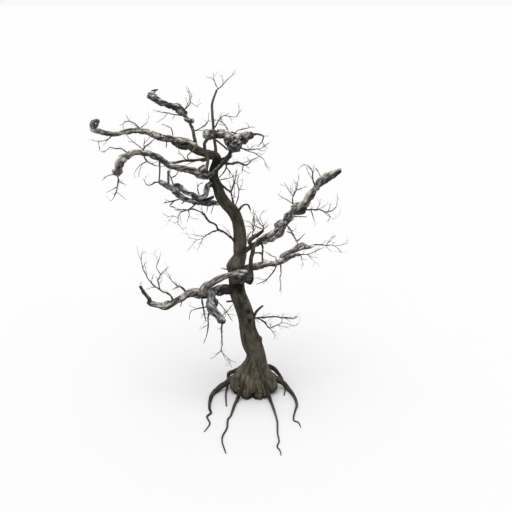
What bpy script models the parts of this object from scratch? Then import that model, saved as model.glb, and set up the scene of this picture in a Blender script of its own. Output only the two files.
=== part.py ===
"""A dead tree, rooted in level ground: a leaning trunk on a fluted flare, surface roots, weathered boughs
and sparse twigs without leaves. Metres, +Z up, with the origin at the middle of the flat cut at the ground.
The tree faces -Y."""

import math
import random

import bmesh
import bpy
from mathutils import Vector

# ---------------------------------------------------------------- driving dimensions

GAP = 0.0003  # clearance between two pieces that meet
CUT = 0.00042  # how much a carrier is swelled to cut what it carries, so that its flats stand GAP clear
LIFT = 0.001  # height of the roots' undersides over the ground
SEED = 41  # seed of the side twigs

FLARE_LOBES = 8  # buttresses round the foot
SIDES_TO_A_LOBE = 4
FLARE_TOP = 0.80  # height at which the buttresses die out
FLUTE_DEPTH = 0.17  # depth of the flutes at the ground, as a share of the radius
FLUTE_FADE = 1.3  # how fast the flutes fade with height
FLUTE_LEVEL = 0.6  # share of a flute's wave that lies within the named radius
FLUTE_TURN = 0.45  # angle of the first buttress, in radians

TRUNK_RING = 0.16  # spacing of the rings along the trunk
BOUGH_RING, BOUGH_SIDES = 0.15, 8
ROOT_RING, ROOT_SIDES = 0.24, 8
STEM_RING, STEM_SIDES = 0.17, 5
FORK_RING, FORK_SIDES = 0.19, 4
TWIG_SIDES = 3

STEM_TIP = 0.006  # radius at the tips of stems and forks
FORK_GIRTH = 0.72  # radius of a fork where it leaves, as a share of its stem's
END_REACH = 0.4  # how far a free end rounds off past its last point, as a share of the radius there
END_GIRTH = 0.5  # radius of the flat left on a rounded end, as the same share
TWIG_SPACING = 0.34  # length of stem to each side twig
TWIG_LENGTHS = (0.11, 0.24)
TWIG_RADII = (0.0085, 0.0045)  # at its root and at its tip
TWIG_PLACES = (0.3, 0.92)  # share of the stem's length along which side twigs grow
TWIG_GIRTH = 0.8  # greatest radius of a side twig's root, as a share of its stem's
TWIG_TAPER = 0.7  # greatest radius of its tip, as a share of its root's
TWIG_LEAN = (0.55, 1.05)  # angle between a side twig and its stem, in radians
TWIG_RISE = 0.25  # how far a side twig turns upwards
TWIG_CLEAR = 0.02  # clearance of a side twig from every other limb and mass
MASS_REACH = 0.06  # how far side twigs may reach past the box of their own stem and forks

# Every point of a trunk, root or bough is (x, y, z, radius) on its heartwood line.
TRUNK = [
    (0.00, 0.00, 0.00, 0.46),
    (0.00, 0.00, 0.13, 0.50),
    (0.00, 0.00, 0.22, 0.48),
    (0.01, 0.00, 0.34, 0.40),
    (0.03, 0.00, 0.47, 0.31),
    (0.04, 0.00, 0.62, 0.24),
    (0.04, 0.00, 0.84, 0.195),
    (-0.05, 0.00, 1.10, 0.205),
    (-0.12, 0.01, 1.38, 0.175),
    (-0.17, 0.03, 1.70, 0.168),
    (-0.32, 0.06, 2.16, 0.155),
    (-0.35, 0.07, 2.44, 0.158),
    (-0.36, 0.08, 2.78, 0.168),
    (-0.28, 0.08, 3.10, 0.125),
    (-0.27, 0.07, 3.32, 0.13),
    (-0.33, 0.03, 3.64, 0.12),
    (-0.42, 0.00, 3.90, 0.13),
    (-0.63, -0.04, 4.17, 0.112),
    (-0.74, -0.06, 4.43, 0.112),
    (-0.79, -0.06, 4.63, 0.109),
    (-0.77, -0.03, 4.83, 0.116),
    (-0.76, 0.03, 4.97, 0.125),
    (-0.84, 0.07, 5.03, 0.118),
    (-0.93, 0.09, 5.06, 0.108),
]

# Surface roots arch down from the flare and then lie on the ground. Each line starts inside the flare. Where
# a line is too low for the root's girth, the root is lifted until it lies on the ground.
ROOTS = {
    "root_front_left": [
        (-0.14, -0.24, 0.18, 0.060), (-0.27, -0.46, 0.07, 0.046), (-0.40, -0.76, 0.0, 0.034),
        (-0.49, -1.23, 0.0, 0.029), (-0.60, -1.78, 0.0, 0.024), (-0.53, -2.10, 0.0, 0.018),
        (-0.51, -2.30, 0.0, 0.014),
    ],
    "root_front_right": [
        (0.13, -0.24, 0.18, 0.060), (0.26, -0.46, 0.07, 0.046), (0.39, -0.80, 0.0, 0.035),
        (0.46, -1.41, 0.0, 0.027), (0.46, -1.90, 0.0, 0.022), (0.42, -2.12, 0.0, 0.018),
        (0.49, -2.36, 0.0, 0.014),
    ],
    "root_side_left": [
        (-0.22, 0.04, 0.33, 0.085), (-0.40, 0.01, 0.27, 0.075), (-0.57, -0.04, 0.17, 0.066),
        (-0.74, -0.10, 0.07, 0.058), (-0.88, -0.42, 0.0, 0.047), (-0.91, -0.85, 0.0, 0.036),
        (-0.89, -1.14, 0.0, 0.026), (-0.86, -1.34, 0.0, 0.020), (-0.95, -1.61, 0.0, 0.013),
    ],
    "root_side_right": [
        (0.22, 0.05, 0.34, 0.085), (0.40, 0.02, 0.28, 0.070), (0.54, 0.00, 0.19, 0.058),
        (0.67, -0.06, 0.10, 0.050), (0.80, -0.26, 0.0, 0.042), (0.85, -0.50, 0.0, 0.036),
        (0.82, -0.90, 0.0, 0.027), (0.80, -1.22, 0.0, 0.020), (0.91, -1.46, 0.0, 0.013),
    ],
    "root_back_left": [
        (-0.16, 0.16, 0.44, 0.060), (-0.29, 0.29, 0.33, 0.050), (-0.43, 0.45, 0.17, 0.040),
        (-0.55, 0.60, 0.0, 0.034), (-0.57, 0.34, 0.0, 0.020), (-0.59, 0.02, 0.0, 0.018),
        (-0.60, -0.30, 0.0, 0.016), (-0.55, -0.72, 0.0, 0.012),
    ],
    "root_back_right": [
        (0.16, 0.14, 0.46, 0.060), (0.28, 0.26, 0.37, 0.052), (0.42, 0.42, 0.22, 0.044),
        (0.56, 0.58, 0.0, 0.034), (0.63, 0.43, 0.0, 0.024), (0.67, 0.05, 0.0, 0.017),
        (0.63, -0.33, 0.0, 0.012),
    ],
    "root_back": [
        (0.01, 0.22, 0.32, 0.070), (0.02, 0.44, 0.19, 0.055), (0.05, 0.68, 0.06, 0.045),
        (0.08, 0.95, 0.0, 0.036), (0.05, 1.20, 0.0, 0.028), (0.03, 1.42, 0.0, 0.020),
        (0.04, 1.58, 0.0, 0.013),
    ],
}

# Boughs: what carries each, whether it grows from the carrier's side or goes on from its tip, its line, and
# the other solids that it is cut clear of.
BOUGHS = {
    "bough_top_left": ("trunk", "tip", [
        (-1.06, 0.12, 5.11, 0.100), (-1.21, 0.20, 5.17, 0.092), (-1.34, 0.26, 5.21, 0.108),
        (-1.52, 0.35, 5.25, 0.100), (-1.68, 0.43, 5.30, 0.078), (-2.03, 0.60, 5.36, 0.066),
        (-2.40, 0.75, 5.33, 0.069), (-2.77, 0.88, 5.27, 0.057), (-3.07, 1.00, 5.30, 0.055),
        (-3.22, 1.04, 5.34, 0.050), (-3.28, 1.07, 5.42, 0.048), (-3.23, 1.09, 5.50, 0.042),
        (-3.14, 1.10, 5.49, 0.034),
    ], ()),
    "bough_high_left": ("", "", [
        (-1.36, 0.85, 5.72, 0.049), (-1.48, 0.90, 5.76, 0.057), (-1.69, 1.05, 5.80, 0.058),
        (-1.91, 1.25, 5.87, 0.054), (-2.10, 1.40, 5.93, 0.048), (-2.14, 1.45, 5.98, 0.040),
        (-2.08, 1.47, 6.02, 0.029), (-2.02, 1.50, 6.05, 0.020),
    ], ()),
    "bough_high_left_stem": ("bough_top_left", "side", [
        (-1.11, 0.17, 5.12, 0.036), (-1.14, 0.30, 5.38, 0.029), (-1.20, 0.50, 5.56, 0.027),
        (-1.28, 0.65, 5.62, 0.027), (-1.40, 0.86, 5.72, 0.030),
    ], ("bough_high_left",)),
    "bough_spire": ("trunk", "side", [
        (-0.75, 0.04, 4.98, 0.036), (-0.71, 0.06, 5.18, 0.028), (-0.73, 0.02, 5.34, 0.026),
        (-0.72, -0.02, 5.55, 0.024), (-0.75, -0.08, 5.81, 0.021), (-0.76, -0.10, 5.98, 0.019),
        (-0.74, -0.10, 6.10, 0.017), (-0.67, -0.08, 6.25, 0.015),
    ], ()),
    "bough_burl": ("trunk", "side", [
        (-0.74, 0.04, 4.94, 0.060), (-0.54, 0.05, 5.00, 0.054), (-0.44, 0.05, 5.11, 0.076),
        (-0.38, 0.05, 5.26, 0.150), (-0.25, 0.05, 5.36, 0.115), (-0.11, 0.06, 5.38, 0.090),
        (0.01, 0.08, 5.38, 0.050),
    ], ()),
    "bough_burl_left": ("bough_burl", "side", [
        (-0.42, 0.03, 5.34, 0.095), (-0.66, -0.12, 5.43, 0.092), (-0.78, -0.19, 5.47, 0.088),
        (-0.91, -0.25, 5.49, 0.080),
    ], ()),
    "bough_bent_left": ("trunk", "side", [
        (-0.75, -0.03, 4.84, 0.050), (-0.69, -0.20, 4.87, 0.052), (-0.76, -0.29, 4.80, 0.056),
        (-0.87, -0.37, 4.74, 0.062), (-0.95, -0.42, 4.79, 0.072), (-1.13, -0.52, 4.88, 0.067),
        (-1.48, -0.70, 4.98, 0.066), (-1.65, -0.80, 5.12, 0.063), (-1.82, -0.92, 5.22, 0.057),
        (-2.01, -1.02, 5.29, 0.055), (-2.15, -1.09, 5.28, 0.062), (-2.24, -1.14, 5.23, 0.070),
    ], ()),
    "bough_bent_left_drop": ("bough_bent_left", "tip", [
        (-2.30, -1.17, 5.15, 0.080), (-2.33, -1.19, 5.06, 0.082), (-2.36, -1.20, 4.97, 0.074),
        (-2.36, -1.20, 4.91, 0.074),
    ], ()),
    "bough_double_left_lower": ("trunk", "side", [
        (-0.60, -0.02, 4.13, 0.040), (-0.91, 0.12, 4.08, 0.035), (-1.11, 0.20, 4.07, 0.039),
        (-1.36, 0.30, 4.11, 0.049), (-1.61, 0.42, 4.25, 0.059), (-1.79, 0.50, 4.35, 0.065),
        (-1.89, 0.55, 4.38, 0.064),
    ], ()),
    "bough_double_left_upper": ("trunk", "side", [
        (-0.78, -0.07, 4.51, 0.034), (-0.91, -0.15, 4.43, 0.032), (-0.94, -0.18, 4.29, 0.034),
        (-1.13, -0.10, 4.27, 0.040), (-1.37, 0.05, 4.30, 0.041), (-1.53, 0.15, 4.42, 0.036),
    ], ()),
    "bough_right": ("trunk", "side", [
        (-0.26, 0.05, 3.06, 0.060), (-0.01, -0.08, 3.23, 0.057), (0.19, -0.15, 3.38, 0.078),
        (0.35, -0.21, 3.50, 0.101), (0.50, -0.28, 3.67, 0.099), (0.63, -0.35, 3.81, 0.090),
        (0.76, -0.42, 3.97, 0.080), (0.88, -0.52, 4.19, 0.098), (1.03, -0.62, 4.39, 0.085),
        (1.12, -0.70, 4.58, 0.050), (1.21, -0.75, 4.70, 0.056), (1.41, -0.86, 4.88, 0.062),
        (1.54, -0.92, 4.95, 0.042),
    ], ()),
    "bough_right_prong": ("trunk", "side", [
        (-0.27, 0.04, 3.22, 0.045), (-0.08, -0.16, 3.36, 0.040), (0.05, -0.26, 3.51, 0.039),
        (0.17, -0.35, 3.64, 0.034),
    ], ("bough_right",)),
    "bough_right_drop": ("bough_right", "side", [
        (-0.01, -0.08, 3.23, 0.040), (-0.02, -0.22, 3.16, 0.040), (-0.06, -0.28, 2.94, 0.048),
        (-0.07, -0.30, 2.72, 0.060), (-0.09, -0.32, 2.58, 0.066),
    ], ()),
    "bough_front_crossing": ("trunk", "side", [
        (-0.28, 0.00, 2.50, 0.055), (-0.14, -0.15, 2.59, 0.054), (-0.20, -0.22, 2.68, 0.060),
        (-0.38, -0.25, 2.68, 0.058), (-0.60, -0.29, 2.65, 0.057), (-0.87, -0.36, 2.53, 0.059),
        (-0.98, -0.41, 2.44, 0.061), (-1.01, -0.45, 2.33, 0.056),
    ], ()),
    "bough_right_low": ("trunk", "side", [
        (-0.30, 0.09, 2.69, 0.050), (0.07, 0.30, 2.69, 0.050), (0.29, 0.50, 2.66, 0.061),
        (0.48, 0.68, 2.62, 0.067), (0.77, 0.95, 2.61, 0.057), (0.90, 1.10, 2.62, 0.043),
    ], ()),
    "bough_right_low_prong": ("bough_right_low", "side", [
        (0.52, 0.71, 2.63, 0.050), (0.60, 0.76, 2.73, 0.058), (0.84, 0.86, 2.82, 0.066),
        (1.00, 0.95, 2.85, 0.076), (1.11, 1.00, 2.84, 0.059), (1.19, 1.04, 2.82, 0.038),
    ], ()),
    "bough_left_low": ("trunk", "side", [
        (-0.36, 0.05, 2.26, 0.095), (-0.64, -0.08, 2.28, 0.096), (-0.88, -0.18, 2.26, 0.096),
        (-1.01, -0.22, 2.26, 0.082), (-1.21, -0.29, 2.32, 0.086), (-1.33, -0.34, 2.30, 0.083),
        (-1.60, -0.44, 2.19, 0.089), (-1.72, -0.49, 2.14, 0.083), (-1.87, -0.56, 2.17, 0.065),
        (-2.02, -0.62, 2.22, 0.056),
    ], ()),
    "bough_front_leg": ("bough_left_low", "side", [
        (-0.86, -0.16, 2.28, 0.074), (-0.85, -0.30, 2.25, 0.078), (-0.85, -0.40, 2.17, 0.090),
        (-0.78, -0.48, 2.09, 0.087), (-0.64, -0.62, 1.94, 0.086), (-0.62, -0.66, 1.86, 0.078),
    ], ()),
}

# Masses of twigs: what carries each, side or tip, the stem's radius, its line, and the forks that leave it.
# A fork starts at the nearest point of what is there already.
TWIGS = {
    "twigs_top_left_mid": ("bough_top_left", "side", 0.019, [
        (-2.19, 0.66, 5.36), (-2.28, 0.62, 5.48), (-2.41, 0.55, 5.59), (-2.59, 0.45, 5.51),
    ], [
        [(-2.41, 0.55, 5.59), (-2.47, 0.60, 5.69)],
        [(-2.24, 0.64, 5.44), (-2.09, 0.80, 5.52)],
    ]),
    "twigs_top_left_under": ("bough_top_left", "side", 0.018, [
        (-2.83, 0.92, 5.26), (-2.89, 0.88, 5.19), (-3.07, 0.75, 5.15), (-3.18, 0.68, 5.21),
    ], [
        [(-3.07, 0.75, 5.15), (-3.06, 0.68, 4.99)],
    ]),
    "twigs_high_left": ("bough_high_left_stem", "side", 0.018, [
        (-1.33, 0.73, 5.66), (-1.51, 0.76, 5.67), (-1.69, 0.85, 5.69), (-2.02, 1.00, 5.74),
    ], [
        [(-1.69, 0.85, 5.70), (-1.78, 0.75, 5.58)],
    ]),
    "twigs_high_right": ("bough_high_left", "side", 0.017, [
        (-1.40, 0.87, 5.73), (-1.29, 0.80, 5.84), (-1.22, 0.72, 5.91), (-1.23, 0.68, 6.01),
        (-1.26, 0.66, 6.16),
    ], [
        [(-1.22, 0.72, 5.91), (-1.06, 0.60, 5.85)],
    ]),
    "twigs_spire_tip": ("bough_spire", "tip", 0.013, [
        (-0.57, -0.06, 6.33), (-0.47, -0.02, 6.44), (-0.39, 0.00, 6.49), (-0.33, 0.03, 6.60),
    ], [
        [(-0.66, -0.08, 6.27), (-0.70, -0.10, 6.37), (-0.73, -0.14, 6.45), (-0.85, -0.18, 6.50)],
    ]),
    "twigs_spire_right": ("bough_spire", "side", 0.015, [
        (-0.72, -0.02, 5.56), (-0.64, -0.05, 5.70), (-0.56, -0.10, 5.78), (-0.32, -0.15, 5.77),
        (-0.27, -0.18, 5.85), (-0.27, -0.20, 6.03),
    ], []),
    "twigs_stem_right": ("bough_high_left_stem", "side", 0.015, [
        (-1.15, 0.36, 5.43), (-1.04, 0.30, 5.47), (-0.94, 0.22, 5.54), (-0.86, 0.15, 5.65),
        (-0.83, 0.12, 5.82),
    ], []),
    "twigs_burl_right": ("bough_burl", "tip", 0.018, [
        (0.10, 0.10, 5.41), (0.19, 0.14, 5.35), (0.16, 0.18, 5.25), (0.06, 0.20, 5.15),
    ], []),
    "twigs_burl_low": ("bough_burl", "side", 0.018, [
        (-0.34, 0.05, 5.25), (-0.20, 0.00, 5.15), (-0.03, -0.05, 5.14), (0.15, -0.10, 5.19),
        (0.29, -0.15, 5.30),
    ], [
        [(-0.15, -0.02, 5.14), (-0.03, -0.10, 5.09), (0.12, -0.20, 5.06), (0.29, -0.30, 4.82)],
    ]),
    "twigs_right_top": ("trunk", "side", 0.026, [
        (-0.76, 0.00, 4.80), (-0.62, 0.14, 4.83), (-0.40, 0.30, 4.80), (-0.29, 0.40, 4.81),
        (-0.15, 0.50, 4.73), (-0.04, 0.60, 4.81), (0.10, 0.70, 4.85),
    ], [
        [(-0.21, 0.45, 4.77), (-0.25, 0.42, 4.57)],
    ]),
    "twigs_thin_left": ("trunk", "side", 0.024, [
        (-0.79, 0.04, 4.98), (-0.92, -0.02, 4.94), (-1.02, -0.03, 4.95), (-1.17, -0.04, 4.93),
        (-1.30, -0.05, 4.94), (-1.58, -0.08, 4.92),
    ], [
        [(-1.28, -0.05, 4.94), (-1.43, 0.00, 5.16)],
        [(-1.20, -0.04, 4.93), (-1.25, -0.10, 5.04), (-1.17, -0.12, 5.12), (-1.08, -0.14, 5.25)],
    ]),
    "twigs_bent_left_mid": ("bough_bent_left", "side", 0.018, [
        (-1.93, -0.98, 5.26), (-1.92, -0.98, 5.35), (-1.78, -1.00, 5.47), (-1.68, -1.02, 5.56),
    ], [
        [(-1.92, -0.98, 5.34), (-2.10, -0.95, 5.46), (-2.19, -0.92, 5.47)],
        [(-1.90, -0.98, 5.36), (-1.87, -1.10, 5.56)],
    ]),
    "twigs_bent_left_knee": ("bough_bent_left", "side", 0.018, [
        (-2.13, -1.09, 5.26), (-2.25, -1.14, 5.37), (-2.38, -1.12, 5.39), (-2.48, -1.10, 5.40),
        (-2.58, -1.05, 5.28),
    ], []),
    "twigs_bent_left_loop": ("bough_bent_left", "side", 0.018, [
        (-1.92, -0.98, 5.24), (-1.86, -1.01, 5.13), (-1.69, -0.98, 5.05), (-1.54, -0.92, 5.02),
    ], [
        [(-1.85, -1.00, 5.13), (-1.98, -1.05, 5.08), (-2.05, -1.10, 5.00), (-2.09, -1.12, 4.92)],
    ]),
    "twigs_bent_left_end": ("bough_bent_left_drop", "tip", 0.020, [
        (-2.34, -1.22, 4.83), (-2.36, -1.24, 4.73), (-2.38, -1.25, 4.65), (-2.47, -1.30, 4.50),
    ], [
        [(-2.38, -1.25, 4.65), (-2.22, -1.20, 4.48)],
        [(-2.36, -1.24, 4.71), (-2.55, -1.32, 4.65)],
        [(-2.35, -1.22, 4.82), (-2.26, -1.15, 4.75)],
    ]),
    "twigs_double_left_end": ("bough_double_left_lower", "tip", 0.021, [
        (-1.98, 0.57, 4.35), (-2.10, 0.60, 4.29), (-2.16, 0.62, 4.32), (-2.24, 0.65, 4.41),
    ], []),
    "twigs_slender_left": ("trunk", "side", 0.024, [
        (-0.28, 0.05, 3.28), (-0.42, -0.08, 3.37), (-0.57, -0.14, 3.52), (-0.78, -0.22, 3.76),
        (-1.04, -0.30, 4.00), (-1.20, -0.35, 4.08), (-1.50, -0.42, 4.08),
    ], [
        [(-1.24, -0.36, 4.08), (-1.37, -0.38, 4.03), (-1.61, -0.45, 3.95)],
        [(-1.20, -0.36, 4.08), (-1.29, -0.32, 3.93), (-1.45, -0.30, 3.76), (-1.38, -0.28, 3.64)],
        [(-0.65, -0.17, 3.60), (-0.85, -0.25, 3.57), (-0.98, -0.30, 3.44), (-1.08, -0.33, 3.47),
         (-1.27, -0.40, 3.50)],
    ]),
    "twigs_right_inner": ("bough_right_prong", "tip", 0.020, [
        (0.19, -0.37, 3.71), (0.12, -0.40, 3.82), (0.06, -0.42, 3.94),
    ], [
        [(0.18, -0.36, 3.67), (0.04, -0.36, 3.74), (0.00, -0.38, 3.87), (-0.01, -0.40, 4.07)],
    ]),
    "twigs_right_mid": ("bough_right", "side", 0.022, [
        (0.76, -0.42, 3.97), (0.74, -0.38, 4.19), (0.74, -0.38, 4.33), (0.81, -0.36, 4.51),
        (0.83, -0.35, 4.74),
    ], [
        [(0.74, -0.40, 4.19), (0.51, -0.30, 4.32)],
        [(0.74, -0.38, 4.33), (0.57, -0.28, 4.58)],
        [(0.78, -0.37, 4.45), (1.00, -0.38, 4.52)],
    ]),
    "twigs_right_high": ("bough_right", "side", 0.018, [
        (1.12, -0.70, 4.58), (1.06, -0.68, 4.75), (1.07, -0.66, 4.83), (1.00, -0.62, 4.96),
        (0.91, -0.60, 4.99), (0.81, -0.56, 4.88),
    ], []),
    "twigs_right_out": ("bough_right", "side", 0.022, [
        (0.85, -0.50, 4.14), (1.00, -0.56, 4.12), (1.21, -0.70, 4.16), (1.32, -0.78, 4.15),
        (1.47, -0.86, 4.22), (1.53, -0.92, 4.46),
    ], [
        [(1.04, -0.60, 4.13), (1.15, -0.55, 3.89)],
        [(1.32, -0.78, 4.15), (1.46, -0.70, 3.98)],
    ]),
    "twigs_right_drop": ("bough_right", "side", 0.018, [
        (0.20, -0.16, 3.40), (0.18, -0.20, 3.29), (0.17, -0.22, 3.15), (0.17, -0.24, 2.97),
    ], [
        [(0.17, -0.22, 3.15), (0.05, -0.24, 3.12)],
    ]),
    "twigs_right_low_prong": ("bough_right_low_prong", "tip", 0.019, [
        (1.30, 1.08, 2.87), (1.55, 1.15, 2.84), (1.77, 1.20, 2.79), (1.88, 1.22, 2.65),
    ], [
        [(1.75, 1.19, 2.80), (2.01, 1.25, 2.83)],
        [(1.55, 1.15, 2.84), (1.69, 1.20, 3.03)],
    ]),
    "twigs_right_low_tip": ("bough_right_low", "tip", 0.020, [
        (1.17, 1.25, 2.60), (1.31, 1.30, 2.63), (1.50, 1.35, 2.71),
    ], [
        [(0.99, 1.19, 2.60), (1.07, 1.20, 2.36)],
        [(1.17, 1.25, 2.60), (1.30, 1.20, 2.45)],
    ]),
    "twigs_right_low_hang": ("bough_right_low", "side", 0.018, [
        (0.48, 0.66, 2.60), (0.42, 0.60, 2.46), (0.23, 0.55, 2.25), (0.04, 0.50, 2.18),
    ], []),
    "twigs_right_low_far": ("bough_right_low", "side", 0.018, [
        (0.55, 0.74, 2.59), (0.57, 0.74, 2.38), (0.55, 0.75, 2.21), (0.58, 0.77, 2.00),
        (0.56, 0.78, 1.84),
    ], []),
    "twigs_left_low_tip": ("bough_left_low", "tip", 0.038, [
        (-2.08, -0.63, 2.27), (-2.07, -0.64, 2.42), (-2.11, -0.66, 2.51), (-2.16, -0.68, 2.61),
    ], []),
    "twigs_left_low_rise": ("bough_left_low", "side", 0.024, [
        (-1.57, -0.44, 2.19), (-1.63, -0.39, 2.31), (-1.86, -0.32, 2.41), (-2.04, -0.28, 2.58),
        (-2.12, -0.26, 2.72), (-2.20, -0.24, 2.97), (-2.17, -0.22, 3.21),
    ], [
        [(-1.86, -0.32, 2.41), (-1.90, -0.20, 2.55), (-1.86, -0.15, 2.66), (-1.93, -0.10, 2.81),
         (-1.86, -0.08, 3.01)],
        [(-1.86, -0.15, 2.66), (-1.70, -0.10, 2.82)],
    ]),
    "twigs_left_low_inner": ("bough_left_low", "side", 0.020, [
        (-1.30, -0.33, 2.31), (-1.42, -0.28, 2.43), (-1.60, -0.22, 2.54), (-1.66, -0.20, 2.66),
        (-1.75, -0.18, 2.78),
    ], []),
    "twigs_leg_end": ("bough_front_leg", "tip", 0.021, [
        (-0.64, -0.66, 1.64), (-0.64, -0.65, 1.37), (-0.66, -0.64, 1.23), (-0.86, -0.70, 1.09),
    ], [
        [(-0.66, -0.64, 1.25), (-0.55, -0.60, 1.07), (-0.36, -0.54, 0.91)],
        [(-0.52, -0.59, 1.04), (-0.44, -0.60, 0.83)],
    ]),
    "twigs_leg_side": ("bough_front_leg", "side", 0.020, [
        (-0.84, -0.44, 2.09), (-0.89, -0.48, 1.94), (-0.91, -0.52, 1.63), (-1.00, -0.55, 1.35),
    ], []),
    "twigs_low_right": ("trunk", "side", 0.024, [
        (-0.13, 0.03, 1.63), (0.04, 0.00, 1.65), (0.38, 0.05, 1.65), (0.64, 0.12, 1.60),
        (0.80, 0.16, 1.55), (0.92, 0.20, 1.59),
    ], [
        [(0.07, 0.00, 1.65), (0.21, -0.05, 1.59), (0.33, -0.05, 1.45), (0.45, -0.04, 1.50),
         (0.62, 0.02, 1.53), (0.82, 0.05, 1.45)],
        [(0.33, -0.05, 1.45), (0.46, -0.10, 1.29)],
    ]),
    "twigs_trunk_hook": ("trunk", "side", 0.021, [
        (-0.39, 0.00, 3.83), (-0.28, -0.05, 3.94), (-0.25, -0.07, 4.02), (-0.17, -0.10, 4.09),
        (-0.11, -0.12, 4.10), (-0.06, -0.14, 4.00),
    ], []),
    "twigs_trunk_right": ("trunk", "side", 0.021, [
        (-0.50, -0.02, 3.99), (-0.40, 0.10, 4.04), (-0.42, 0.14, 4.14), (-0.44, 0.16, 4.28),
        (-0.36, 0.20, 4.54), (-0.32, 0.22, 4.74),
    ], [
        [(-0.44, 0.16, 4.28), (-0.56, 0.20, 4.35), (-0.70, 0.24, 4.42)],
    ]),
}

# Finishes: base colour and roughness.
BARK = ("bark", (0.070, 0.058, 0.040, 1.0), 0.95)
WEATHERED = ("weathered_wood", (0.200, 0.190, 0.180, 1.0), 0.85)
TWIG_BARK = ("twig_bark", (0.080, 0.072, 0.052, 1.0), 0.90)


# ---------------------------------------------------------------- lines


def curve_through(points, spacing, lead=None):
    """A smooth line through points of (x, y, z, radius), as such points about `spacing` apart. `lead` is the
    direction that it sets out in."""
    knots = [Vector(point) for point in points]
    spans = [(b - a).to_3d().length for a, b in zip(knots, knots[1:])]
    slopes = []
    for i in range(len(knots)):
        before, after = max(i - 1, 0), min(i + 1, len(knots) - 1)
        slopes.append((knots[after] - knots[before]) / sum(spans[before:after]))
    if lead is not None:
        slopes[0] = Vector((*lead, slopes[0].w))
    line = []
    for start, end, slope, next_slope, span in zip(knots, knots[1:], slopes, slopes[1:], spans):
        steps = max(1, round(span / spacing))
        for step in range(steps):
            t = step / steps
            line.append(
                start * (2 * t**3 - 3 * t**2 + 1)
                + slope * (span * (t**3 - 2 * t**2 + t))
                + end * (3 * t**2 - 2 * t**3)
                + next_slope * (span * (t**3 - t**2))
            )
    return line + [knots[-1]]


def end_direction(line):
    """The direction in which a line ends."""
    return (line[-1] - line[-2]).to_3d().normalized()


def ring_directions(line, lead=None):
    """The direction of the line at each point, which its ring is square to."""
    places = [point.to_3d() for point in line]
    directions = []
    for i in range(len(places)):
        before, after = max(i - 1, 0), min(i + 1, len(places) - 1)
        directions.append((places[after] - places[before]).normalized())
    if lead is not None:
        directions[0] = Vector(lead)
    return directions


# ---------------------------------------------------------------- solids


def material(finish):
    """The finish as a material, made once."""
    name, colour, roughness = finish
    found = bpy.data.materials.get(name)
    if found:
        return found
    made = bpy.data.materials.new(name)
    made.use_nodes = True
    shader = made.node_tree.nodes["Principled BSDF"]
    shader.inputs["Base Color"].default_value = colour
    shader.inputs["Roughness"].default_value = roughness
    shader.inputs["Metallic"].default_value = 0.0
    return made


def tube(name, line, sides, grow=0.0, lead=None, swell=None):
    """A closed limb along a line. `grow` stands its whole surface off outwards. `swell` is a function of a
    height and an angle that gives the share by which the limb is wider there."""
    directions = ring_directions(line, lead)
    rings = bmesh.new()
    across = directions[0].orthogonal().normalized()
    if swell:
        across = Vector((1.0, 0.0, 0.0))
    loops = []
    for i, (point, along) in enumerate(zip(line, directions)):
        if i:
            across = directions[i - 1].rotation_difference(along) @ across
        beside = along.cross(across)
        shift = (-grow if i == 0 else grow if i == len(line) - 1 else 0.0) * along
        loop = []
        for side in range(sides):
            angle = 2 * math.pi * side / sides
            wider = 1.0 + swell(point.z, angle) if swell else 1.0
            reach = point.w * wider + grow
            spoke = math.cos(angle) * across + math.sin(angle) * beside
            loop.append(rings.verts.new(point.to_3d() + shift + reach * spoke))
        loops.append(loop)
    for lower, upper in zip(loops, loops[1:]):
        for side in range(sides):
            after = (side + 1) % sides
            rings.faces.new((lower[side], lower[after], upper[after]))
            rings.faces.new((lower[side], upper[after], upper[side]))
    rings.faces.new(reversed(loops[0]))
    rings.faces.new(loops[-1])
    mesh = bpy.data.meshes.new(name)
    rings.to_mesh(mesh)
    rings.free()
    return bpy.data.objects.new(name, mesh)


def apply_modifiers(body):
    """The object's modifiers made part of its mesh."""
    depsgraph = bpy.context.evaluated_depsgraph_get()
    finished = bpy.data.meshes.new_from_object(body.evaluated_get(depsgraph))
    body.modifiers.clear()
    body.data = finished


def cut_by(body, cutter):
    """The body less the cutter, which is removed."""
    bpy.context.scene.collection.objects.link(cutter)
    cutter.hide_render = True
    cutter.display_type = "WIRE"
    cut = body.modifiers.new("seat", "BOOLEAN")
    cut.operation = "DIFFERENCE"
    cut.solver = "EXACT"
    cut.object = cutter
    bpy.context.view_layer.update()
    apply_modifiers(body)
    bpy.data.objects.remove(cutter)


def join_all(body, others):
    """The body and the others as one closed solid."""
    group = bpy.data.collections.new(body.name + "_parts")
    bpy.context.scene.collection.children.link(group)
    for other in others:
        group.objects.link(other)
    union = body.modifiers.new("join", "BOOLEAN")
    union.operation = "UNION"
    union.operand_type = "COLLECTION"
    union.collection = group
    union.solver = "EXACT"
    bpy.context.view_layer.update()
    apply_modifiers(body)
    for other in others:
        bpy.data.objects.remove(other)
    bpy.data.collections.remove(group)


def keep_largest(body):
    """Drops every loose scrap but the largest body."""
    whole = bmesh.new()
    whole.from_mesh(body.data)
    unseen = set(whole.verts)
    islands = []
    while unseen:
        frontier = [unseen.pop()]
        island = set(frontier)
        while frontier:
            for edge in frontier.pop().link_edges:
                for vert in edge.verts:
                    if vert in unseen:
                        unseen.discard(vert)
                        island.add(vert)
                        frontier.append(vert)
        islands.append(island)
    islands.sort(key=len)
    for island in islands[:-1]:
        bmesh.ops.delete(whole, geom=list(island), context="VERTS")
    whole.to_mesh(body.data)
    whole.free()


def finish_piece(body, finish):
    """Gives the piece its material and smooth shading."""
    body.data.materials.clear()
    body.data.materials.append(material(finish))
    body.data.shade_smooth()


# ---------------------------------------------------------------- trunk, roots and boughs

LINES = {}  # name: (line, sides, lead, swell) of each limb, for cutting and for carrying others


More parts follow.
